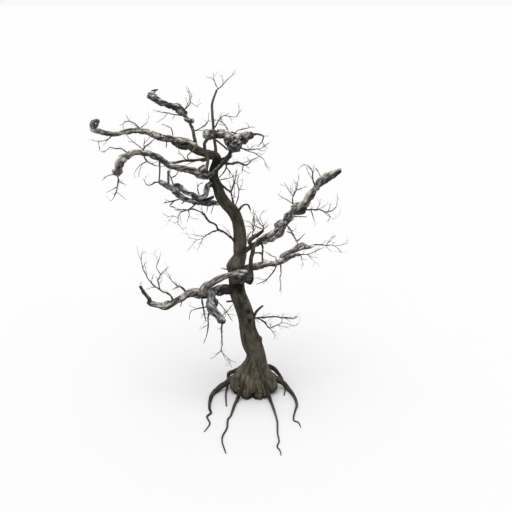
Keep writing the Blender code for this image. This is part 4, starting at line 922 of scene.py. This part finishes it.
# %% Spray lines
# Name: radius at the root and at the tip, the points of the stem, and those of each fork.
SPRAYS = {
    "twigs_top_left_mid": (1.52, 0.34, [(-219, 66, 536), (-228, 62, 548), (-241, 55, 559), (-259, 45, 551)], [
        [(-241, 55, 559), (-247, 60, 569)], [(-224, 64, 544), (-209, 80, 552)],
    ]),
    "twigs_top_left_under": (1.44, 0.34, [(-283, 92, 526), (-289, 88, 519), (-307, 75, 515), (-318, 68, 521)], [
        [(-307, 75, 515), (-306, 68, 499)],
    ]),
    "twigs_high_left": (1.44, 0.34, [(-133, 73, 566), (-151, 76, 567), (-169, 85, 569), (-202, 100, 574)], [
        [(-169, 85, 570), (-178, 75, 558)],
    ]),
    "twigs_high_right": (1.36, 0.34, [
        (-140, 87, 573), (-129, 80, 584), (-122, 72, 591), (-123, 68, 601), (-126, 66, 616),
    ], [
        [(-122, 72, 591), (-106, 60, 585)],
    ]),
    "twigs_spire_tip": (1.04, 0.34, [
        (-67, -8, 625), (-57, -6, 633), (-47, -2, 644), (-39, 0, 649), (-33, 3, 660),
    ], [
        [(-66, -8, 627), (-70, -10, 637), (-73, -14, 645), (-85, -18, 650)],
    ]),
    "twigs_spire_right": (1.2, 0.34, [
        (-72, -2, 556), (-64, -5, 570), (-56, -10, 578), (-32, -15, 577), (-27, -18, 585), (-27, -20, 603),
    ], []),
    "twigs_stem_right": (1.2, 0.34, [
        (-115, 36, 543), (-104, 30, 547), (-94, 22, 554), (-86, 15, 565), (-83, 12, 582),
    ], []),
    "twigs_burl_right": (2.1, 0.5, [
        (-5, 8, 540), (10, 10, 541), (19, 14, 535), (16, 18, 525), (6, 20, 515),
    ], []),
    "twigs_burl_low": (1.44, 0.34, [
        (-34, 5, 525), (-20, 0, 515), (-3, -5, 514), (15, -10, 519), (29, -15, 530),
    ], [
        [
            (-21, 0, 515), (-13, -3, 512), (-2, -8, 510), (7, -14, 507), (15, -19, 501), (22, -24, 492),
            (29, -30, 481),
        ],
    ]),
    "twigs_right_top": (3.4, 0.55, [
        (-76, 0, 480), (-62, 14, 483), (-40, 30, 480), (-29, 40, 481), (-15, 50, 473), (-4, 60, 481),
        (10, 70, 485),
    ], [
        [(-21, 45, 477), (-25, 42, 457)],
    ]),
    "twigs_thin_left": (2.5, 0.45, [
        (-79, 4, 498), (-92, -2, 494), (-102, -3, 495), (-117, -4, 493), (-130, -5, 494), (-158, -8, 492),
    ], [
        [(-128, -5, 494), (-143, 0, 516)],
        [(-120, -4, 493), (-125, -10, 504), (-117, -12, 512), (-108, -14, 525)],
    ]),
    "twigs_bent_left_mid": (1.44, 0.34, [
        (-193, -98, 526), (-192, -98, 535), (-178, -100, 547), (-168, -102, 556),
    ], [
        [(-192, -98, 534), (-210, -95, 546), (-219, -92, 547)], [(-190, -98, 536), (-187, -110, 556)],
    ]),
    "twigs_bent_left_knee": (1.44, 0.34, [
        (-213, -109, 526), (-225, -114, 537), (-238, -112, 539), (-248, -110, 540), (-258, -105, 528),
    ], []),
    "twigs_bent_left_loop": (1.44, 0.34, [
        (-192, -98, 524), (-186, -101, 513), (-169, -98, 505), (-154, -92, 502),
    ], [
        [(-185, -100, 513), (-198, -105, 508), (-205, -110, 500), (-209, -112, 492)],
    ]),
    "twigs_bent_left_end": (1.6, 0.34, [
        (-236, -120, 496), (-234, -122, 483), (-236, -124, 473), (-238, -125, 465), (-247, -130, 450),
    ], [
        [(-238, -125, 465), (-222, -120, 448)], [(-236, -124, 471), (-255, -132, 465)],
        [(-235, -122, 482), (-226, -115, 475)],
    ]),
    "twigs_double_left_end": (1.68, 0.34, [
        (-187, 54, 438), (-198, 57, 435), (-210, 60, 429), (-216, 62, 432), (-224, 65, 441),
    ], []),
    "twigs_slender_left": (2.6, 1.05, [
        (-34, 5, 326), (-46, -10, 344), (-57, -14, 354), (-67, -17, 361), (-76, -20, 374), (-89, -25, 383),
        (-95, -28, 395), (-104, -30, 402), (-116, -34, 407), (-126, -36, 407), (-145, -40, 408),
    ], [
        [
            (-123, -36, 408), (-136, -38, 403), (-143, -39, 396), (-143, -38, 388), (-143, -36, 378),
            (-133, -34, 365),
        ],
        [(-124, -36, 405), (-123, -36, 394), (-127, -37, 381)],
        [(-67, -17, 361), (-84, -20, 355), (-98, -24, 346), (-101, -26, 340), (-108, -28, 336)],
        [(-98, -24, 346), (-110, -26, 344), (-126, -28, 349)],
        [(-141, -38, 393), (-154, -40, 396), (-164, -42, 393)],
    ]),
    "twigs_right_inner": (1.6, 0.34, [(17, -35, 364), (19, -37, 371), (12, -40, 382), (6, -42, 394)], [
        [(18, -36, 367), (4, -36, 374), (0, -38, 387), (-1, -40, 407)],
    ]),
    "twigs_right_mid": (1.76, 0.34, [
        (76, -42, 397), (74, -38, 419), (74, -38, 433), (81, -36, 451), (83, -35, 474),
    ], [
        [(74, -40, 419), (51, -30, 432)], [(74, -38, 433), (57, -28, 458)], [(78, -37, 445), (100, -38, 452)],
    ]),
    "twigs_right_high": (1.44, 0.34, [
        (112, -70, 458), (106, -68, 475), (107, -66, 483), (100, -62, 496), (91, -60, 499), (81, -56, 488),
    ], []),
    "twigs_right_out": (1.76, 0.34, [
        (85, -50, 414), (100, -56, 412), (121, -70, 416), (132, -78, 415), (147, -86, 422), (153, -92, 446),
    ], [
        [(104, -60, 413), (115, -55, 389)], [(132, -78, 415), (146, -70, 398)],
    ]),
    "twigs_right_drop": (2, 1.5, [(15, -16, 331), (18, -18, 323), (17, -20, 310), (16, -24, 294)], [
        [(17, -20, 312), (8, -18, 314), (0, -20, 314)],
    ]),
    "twigs_right_low_prong": (1.52, 0.34, [
        (127, 105, 287), (130, 108, 287), (155, 115, 284), (177, 120, 279), (188, 122, 265),
    ], [
        [(175, 119, 280), (201, 125, 283)], [(155, 115, 284), (169, 120, 303)],
    ]),
    "twigs_right_low_tip": (1.6, 0.34, [(97, 115, 262), (117, 125, 260), (131, 130, 263), (150, 135, 271)], [
        [(99, 119, 260), (107, 120, 236)], [(117, 125, 260), (130, 120, 245)],
    ]),
    "twigs_right_low_hang": (1.7, 0.45, [(48, 66, 260), (42, 60, 246), (23, 55, 225), (4, 50, 218)], []),
    "twigs_right_low_far": (1.44, 0.34, [
        (55, 74, 259), (57, 74, 238), (55, 75, 221), (58, 77, 200), (56, 78, 184),
    ], []),
    "twigs_left_low_tip": (4, 2.4, [
        (-201, -62, 225), (-202, -63, 232), (-206, -64, 240), (-211, -66, 250), (-216, -68, 262),
    ], []),
    "twigs_left_low_rise": (1.92, 0.34, [
        (-157, -44, 219), (-163, -39, 231), (-186, -32, 241), (-204, -28, 258), (-212, -26, 272),
        (-220, -24, 297), (-217, -22, 321),
    ], [
        [(-186, -32, 241), (-190, -20, 255), (-186, -15, 266), (-193, -10, 281), (-186, -8, 301)],
        [(-186, -15, 266), (-170, -10, 282)],
    ]),
    "twigs_left_low_inner": (1.6, 0.34, [
        (-130, -33, 231), (-142, -28, 243), (-160, -22, 254), (-166, -20, 266), (-175, -18, 278),
    ], []),
    "twigs_leg_end": (1.7, 0.45, [
        (-62, -66, 187), (-63, -66, 161), (-64, -65, 139), (-66, -64, 123), (-75, -67, 116), (-86, -70, 109),
    ], [
        [(-66, -64, 125), (-55, -62, 108), (-36, -60, 94)], [(-52, -62, 106), (-44, -60, 83)],
    ]),
    "twigs_leg_side": (1.8, 0.6, [(-84, -44, 209), (-89, -48, 194), (-91, -52, 163), (-100, -55, 135)], []),
    "twigs_low_right": (2.5, 0.9, [
        (-13, 3, 163), (4, 0, 165), (38, 5, 165), (64, 12, 160), (80, 16, 155), (92, 20, 159),
    ], [
        [(7, 0, 165), (21, -5, 159), (33, -5, 145), (45, -4, 150), (62, 2, 153), (82, 5, 145)],
        [(33, -5, 145), (46, -10, 129)],
    ]),
    "twigs_trunk_hook": (2.4, 1.4, [
        (-34, 0, 388), (-28, -4, 396), (-23, -7, 405), (-16, -10, 410), (-10, -12, 409), (-6, -14, 400),
    ], []),
    "twigs_trunk_right": (1.68, 0.34, [
        (-50, -2, 399), (-40, 10, 404), (-42, 14, 414), (-44, 16, 428), (-36, 20, 454), (-32, 22, 474),
    ], [
        [(-44, 16, 428), (-56, 20, 435), (-70, 24, 442)],
    ]),
}
# Lone twigs: points, each with its radius.
LONE_TWIGS = [
    [(-52, -5, 492, 1.8), (-52, -7, 480, 1.5), (-58, -9, 471, 1.2), (-65, -11, 463, 0.8)],
    [(-52, -7, 482, 0.9), (-46, -11, 475, 0.8), (-40, -14, 466, 0.6)],
    [(-69, 0, 454, 1.1), (-57, 5, 456, 1), (-46, 10, 457, 0.8), (-36, 14, 460, 0.6)],
    [
        (-71, 0, 453, 2.1), (-62, 5, 445, 1.9), (-53, 9, 435, 1.8), (-44, 13, 426, 1.7), (-42, 10, 416, 1.6),
        (-38, 3, 406, 1.6), (-35, 0, 401, 1.7),
    ],
    [(-44, 13, 427, 1.1), (-39, 15, 440, 0.9), (-35, 18, 455, 0.7), (-32, 20, 470, 0.5)],
    [(-48, 0, 548, 1.2), (-51, 2, 556, 1), (-57, 4, 563, 0.9), (-65, 6, 567, 0.7), (-77, 8, 569, 0.6)],
    [(-156, 40, 529, 1), (-157, 38, 544, 0.8), (-163, 36, 551, 0.7), (-177, 34, 556, 0.6)],
    [(-169, 48, 525, 1.2), (-171, 46, 508, 0.8)],
    [(-192, 55, 527, 1.3), (-187, 52, 522, 1.2), (-179, 50, 523, 1)],
    [(-241, -120, 495, 0.9), (-251, -121, 493, 0.7), (-260, -122, 489, 0.5)],
    [(-156, 13, 443, 1.2), (-159, 11, 456, 1.1), (-163, 9, 466, 0.9), (-156, 7, 478, 0.7)],
    [(-160, 11, 457, 1.1), (-151, 8, 461, 1), (-144, 5, 472, 0.8)],
    [(-104, -14, 430, 1.2), (-107, -13, 442, 1.1), (-103, -12, 450, 0.8), (-96, -11, 453, 0.7)],
    [(-89, 10, 404, 1), (-92, 8, 388, 0.6)],
    [(-78, 6, 404, 1), (-84, 4, 386, 0.6)],
    [(-7, -15, 333, 1.1), (-3, -14, 347, 1), (0, -13, 363, 0.8), (1, -12, 379, 0.7), (1, -11, 393, 0.5)],
    [(0, -13, 361, 0.8), (-7, -12, 374, 0.7), (-19, -11, 378, 0.5)],
    [(6, -22, 346, 1), (18, -24, 361, 0.9), (18, -24, 373, 0.7), (12, -22, 387, 0.6), (20, -20, 402, 0.4)],
    [(-16, 7, 325, 0.9), (-8, 7, 346, 0.8), (1, 7, 352, 0.7), (5, 7, 365, 0.5)],
    [(84, -6, 333, 1.2), (92, -5, 340, 1), (97, -4, 345, 0.8)],
    [(46, 60, 265, 1.1), (45, 58, 276, 1), (35, 57, 281, 0.8), (24, 56, 288, 0.6)],
    [
        (-103, -44, 233, 1.8), (-101, -45, 219, 1.7), (-99, -46, 204, 1.5), (-97, -48, 192, 1.2),
        (-95, -50, 180, 0.8),
    ],
    [
        (-91, -42, 210, 1.5), (-102, -44, 208, 1.3), (-112, -46, 206, 1.1), (-124, -50, 203, 0.8),
        (-127, -52, 186, 0.7),
    ],
    [(-133, -32, 237, 1.3), (-142, -30, 246, 1.2), (-150, -28, 246, 1), (-162, -26, 240, 0.7)],
    [(-134, -36, 228, 1.2), (-141, -38, 219, 1), (-145, -40, 208, 0.7)],
    [(-48, 0, 271, 1.4), (-56, -2, 273, 1.2), (-65, -4, 277, 0.8)],
    [(-74, -38, 221, 1), (-65, -40, 211, 0.9), (-55, -42, 200, 0.8), (-43, -44, 179, 0.6)],
    [(-63, -62, 198, 1.2), (-54, -60, 206, 1), (-41, -56, 220, 0.7)],
    [(-22, -2, 241, 1.1), (-22, -4, 227, 1.1), (-25, -2, 210, 1.1), (-35, 4, 196, 1)],
    [(61, -33, 378, 1.7), (73, -20, 358, 1.4), (80, -10, 342, 1.4), (88, 0, 325, 0.8)],
    [(75, -16, 352, 1.1), (69, -16, 355, 1), (64, -16, 357, 0.8)],
    [(72, -39, 394, 1.2), (87, -42, 395, 1), (100, -44, 395, 0.8)],
    [(-115, 20, 402, 1.6), (-119, 0, 402, 1.5), (-123, -30, 406, 1.3)],
    [(-148, 36, 407, 1.4), (-160, 36, 404, 1.2), (-178, 38, 399, 0.8)],
    [(-137, 32, 405, 1.5), (-143, 32, 399, 1.1)],
    [(-156, 36, 405, 1.1), (-167, 34, 395, 1), (-154, 30, 390, 0.8)],
    [(117, -70, 464, 0.9), (119, -69, 475, 0.7), (125, -68, 481, 0.6), (132, -67, 486, 0.5)],
    [(121, -69, 478, 0.7), (117, -68, 487, 0.6), (112, -67, 494, 0.5)],
    [(-36, 1, 403, 1.1), (-31, 8, 417, 1), (-29, 12, 432, 0.9), (-32, 15, 446, 0.7), (-29, 18, 461, 0.5)],
    [(-29, 12, 432, 0.7), (-23, 14, 433, 0.6), (-17, 16, 432, 0.4)],
    [(0, -13, 357, 0.8), (-7, -12, 366, 0.6), (-18, -10, 366, 0.4)],
    [(17, -24, 371, 0.7), (9, -22, 376, 0.6), (4, -20, 384, 0.4)],
    [(19, -24, 365, 0.7), (25, -24, 369, 0.5), (26, -24, 377, 0.4)],
    [
        (-36, 0, 544, 1.1), (-30, -1, 550, 0.9), (-22, -2, 552, 0.8), (-11, -3, 555, 0.7), (-5, -3, 557, 0.6),
        (3, -3, 556, 0.4),
    ],
]
print("sprays:", len(SPRAYS), "and", len(LONE_TWIGS), "lone twigs")

# %% [markdown]
# ## The rule for twigs
# Twigs could be placed by hand or scattered as copies, but copies repeat and hand work takes days. Here a rule
# grows them: along a stem, a side twig leaves at each short step, leans off at a drawn angle and bends in one
# long arc, a little up. It carries twiglets of its own, which grow by the same rule. The dice have a fixed
# seed, so the tree is the same each time. A twig that would leave its spray's space or touch a bough is
# skipped.

# %% Rule for a twig
TWIG_LEAN = (0.50, 0.95)  # Radians off the line that carries it.
TWIG_TURN = (1.8, 3.4)  # Radians round that line from one twig to the next.
TWIG_BEND, TWIG_RISE, TWIG_TREMBLE = 0.55, 0.20, 0.06
BARE_START = 0.04  # How far a stem stays bare where it sets out.
CLEARANCE = 0.012  # How far a twig keeps off the boughs and the trunk.
# For each order of twig: its spacing, shortest and longest length, and radius at its root and tip.
ORDERS = [
    (0.120, 0.12, 0.36, 0.0060, 0.0024),
    (0.080, 0.06, 0.18, 0.0036, 0.0018),
]
CARRIERS = [*(points for *_, points in BOUGHS.values()), TRUNK[2:]]
LIMBS = np.vstack([smooth_line(metres(points), 0.04) for points in CARRIERS])


def tapered(points, thick, thin):
    """Points with a radius that shrinks along them, most of all near the end."""
    places = np.array(points, float)
    gone = length_along(places)
    return np.column_stack([places[:, :3], thick + (thin - thick) * (gone / gone[-1]) ** 1.3])


def side_twigs(line, order, low, high, dice):
    """The twigs that one line carries, and theirs, each as a line of points."""
    spacing, shortest, longest, thick, thin = ORDERS[order]
    far = length_along(line)
    grown = []
    at = dice.uniform(0.3, 1.0) * spacing + (BARE_START if order == 0 else 0.0)
    turn = dice.uniform(0, 2 * math.pi)
    while at < far[-1]:
        index = int(np.searchsorted(far, at)) - 1
        share = (at - far[index]) / (far[index + 1] - far[index])
        root = line[index] * (1 - share) + line[index + 1] * share
        along = line[index + 1, :3] - line[index, :3]
        along = along / np.linalg.norm(along)
        across = np.cross(along, (0.31, 0.55, 0.77))  # Any slanting direction would do.
        across /= np.linalg.norm(across)
        turn += dice.uniform(*TWIG_TURN)
        lean = dice.uniform(*TWIG_LEAN)
        outward = math.cos(turn) * across + math.sin(turn) * np.cross(along, across)
        heading = math.cos(lean) * along + math.sin(lean) * outward
        length = shortest + (longest - shortest) * dice.random() ** 1.6  # More short ones than long.
        steps = 4 + sum(length > limit for limit in (0.12, 0.20, 0.28))
        bend = dice.normal(0.0, TWIG_BEND, 3) + (0.0, 0.0, TWIG_RISE)
        place, points = root[:3].copy(), [root[:3].copy()]
        for _ in range(steps):
            heading = heading + bend / steps + dice.normal(0.0, TWIG_TREMBLE, 3)
            heading /= np.linalg.norm(heading)
            place = place + heading * length / steps
            points.append(place.copy())
        twig = tapered(points, min(thick, 0.85 * root[3]), thin)
        at += spacing * dice.uniform(0.6, 1.5)
        if (twig[:, :3] < low).any() or (twig[:, :3] > high).any():
            continue
        off = np.linalg.norm(twig[2:, None, :3] - LIMBS[None, :, :3], axis=2) - LIMBS[None, :, 3]
        if off.min() < CLEARANCE:
            continue
        grown.append((twig, order + 1))
        if order + 1 < len(ORDERS):
            grown += side_twigs(twig, order + 1, low, high, dice)
    return grown


# %% Rule for a spray
SPRAY_REACH = 0.10  # How far twigs may reach beyond the box of their stem and forks.
STEM_SPACING = 0.035
STEM_BENDS, FORK_BENDS, LONE_BENDS = 0.014, 0.012, 0.006  # How far each kind strays from its points.
FORK_SHARE = 0.80  # A fork's radius where it leaves, as a share of its stem's.
FORK_THICK, FORK_THIN = 0.0070, 0.0030  # The least radius that it starts with, and that of its tip.


def grown_on(main, dice):
    """The main lines of a spray and all the twigs grown on them, each with its order."""
    every = np.vstack(main)[:, :3]
    low, high = every.min(axis=0) - SPRAY_REACH, every.max(axis=0) + SPRAY_REACH
    lines = [(line, 0) for line in main]
    for line in main:
        lines += side_twigs(line, 0, low, high, dice)
    return lines


def spray_lines(thick, thin, stem, forks, dice):
    """All the lines of one spray: the stem, its forks, and the twigs on them."""
    main = [crooked(smooth_line(metres(tapered(stem, thick, thin)), STEM_SPACING), dice, STEM_BENDS)]
    for fork in forks:
        every = np.vstack(main)
        fork = metres(fork)
        root = every[np.linalg.norm(every[:, :3] - fork[0], axis=1).argmin()]
        points = tapered([root[:3], *fork[1:]], max(FORK_SHARE * root[3], FORK_THICK), FORK_THIN)
        main.append(crooked(smooth_line(points, STEM_SPACING), dice, FORK_BENDS))
    return grown_on(main, dice)


# %% [markdown]
# ## A mesh for each spray
# A twig is so thin that it needs only a few sides, but a smooth rod would look like wire. So a twig is a light
# version of a limb: rings of three to six points, with a radius that swells and shrinks a little. All of a
# spray's twigs share one mesh. Its finish is the twigs' own thin bark, dull brown, a little paler at the tips.

# %% Spray meshes
TWIG_BARK = wood_material(
    "twig_bark",
    [(0.0, (32, 30, 25)), (0.35, (68, 65, 54)), (0.65, (112, 107, 92)), (1.0, (165, 159, 140))],
    light_and_bleach=(0.75, 1.15), fine=90.0, rough=(0.7, 0.9), shine=0.2,
    stain=(1.0, 0.86, 0.70, 1.0), stained=(0.45, 0.72),
)
SEED = 41  # For the first spray. Each spray has dice of its own, so that one can change and the rest stay.
LONE_SEED = SEED + 100
TWIG_SIDES = (6, 4, 3)  # Of a stem, a twig and a twiglet.


def twig_relief(order, dice):
    """A relief function for a twig: knots, and paler wood the thinner it is."""

    def relief(bark, radius, line):
        knots = np.clip(0.16 * dice.normal(size=(len(bark), 1)), -0.25, 0.35)
        thinness = np.clip(1.2 - radius / 0.012, 0.0, 1.0)
        return radius * knots, 0.26 + 0.28 * thinness + 0.13 * order + 0.08 * dice.normal()

    return relief


def spray_mesh(name, lines, dice):
    """One mesh for all the twigs of a spray."""
    parts = [limb_part(line, TWIG_SIDES[order], twig_relief(order, dice)) for line, order in lines]
    return limbs_mesh(name, parts)


twig_count = 0
for number, (name, (thick, thin, stem, forks)) in enumerate(SPRAYS.items()):
    dice = np.random.default_rng(SEED + number)
    lines = spray_lines(thick, thin, stem, forks, dice)
    twig_count += len(lines)
    add_piece(spray_mesh(name + "_spray", lines, dice), TWIG_BARK, "twig_bark", name)
dice = np.random.default_rng(LONE_SEED)
lone = []
for points in LONE_TWIGS:
    lone += grown_on([crooked(smooth_line(metres(points), STEM_SPACING), dice, LONE_BENDS)], dice)
add_piece(spray_mesh("lone_twigs", lone, dice), TWIG_BARK, "twig_bark")
print("twigs:", twig_count + len(lone))

# %% [markdown]
# ## Floor and light
# A studio tree stands on a seamless pale floor that runs back to the horizon. A broad light overhead lights the
# tops of the boughs, and the pale surroundings fill the rest. The finishes add painted light on top and painted
# shade beneath.

# %% Floor and light
FLOOR_REACH = 6000.0
FLOOR_DROP = 0.0005  # The floor lies this far under the tree, so that the two never share a surface.
OVERHEAD, SURROUNDINGS = 2.1, 0.95

floor_mesh = bpy.data.meshes.new("floor")
corners = [(x * FLOOR_REACH, y * FLOOR_REACH, 0.0) for x, y in ((-1, -1), (1, -1), (1, 1), (-1, 1))]
floor_mesh.from_pydata(corners, [], [(0, 1, 2, 3)])
floor = bpy.data.objects.new("floor", floor_mesh)
bpy.context.scene.collection.objects.link(floor)
floor.location.z = -FLOOR_DROP
paint = bpy.data.materials.new("floor_paint")
paint.use_nodes = True
painted = paint.node_tree.nodes["Principled BSDF"]
painted.inputs["Base Color"].default_value = (0.62, 0.62, 0.62, 1.0)
painted.inputs["Roughness"].default_value = 1.0
painted.inputs["Specular IOR Level"].default_value = 0.0
floor_mesh.materials.append(paint)

world = bpy.data.worlds.new("studio")
world.use_nodes = True
around = world.node_tree.nodes["Background"]
around.inputs["Color"].default_value = (1.0, 1.0, 1.0, 1.0)
around.inputs["Strength"].default_value = SURROUNDINGS
bpy.context.scene.world = world

lamp_data = bpy.data.lights.new("overhead", "SUN")
lamp_data.energy = OVERHEAD
lamp_data.angle = math.radians(50.0)
lamp = bpy.data.objects.new("overhead", lamp_data)
lamp.rotation_euler = (math.radians(12.0), math.radians(-8.0), 0.0)
bpy.context.scene.collection.objects.link(lamp)
bpy.context.scene.view_settings.view_transform = "Standard"
print("light:", OVERHEAD, "overhead and", SURROUNDINGS, "around")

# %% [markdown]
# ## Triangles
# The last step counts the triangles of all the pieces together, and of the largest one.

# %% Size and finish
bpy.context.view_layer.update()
print("triangles:", sum(TRIANGLES.values()), "most in one piece:", max(TRIANGLES.values()))
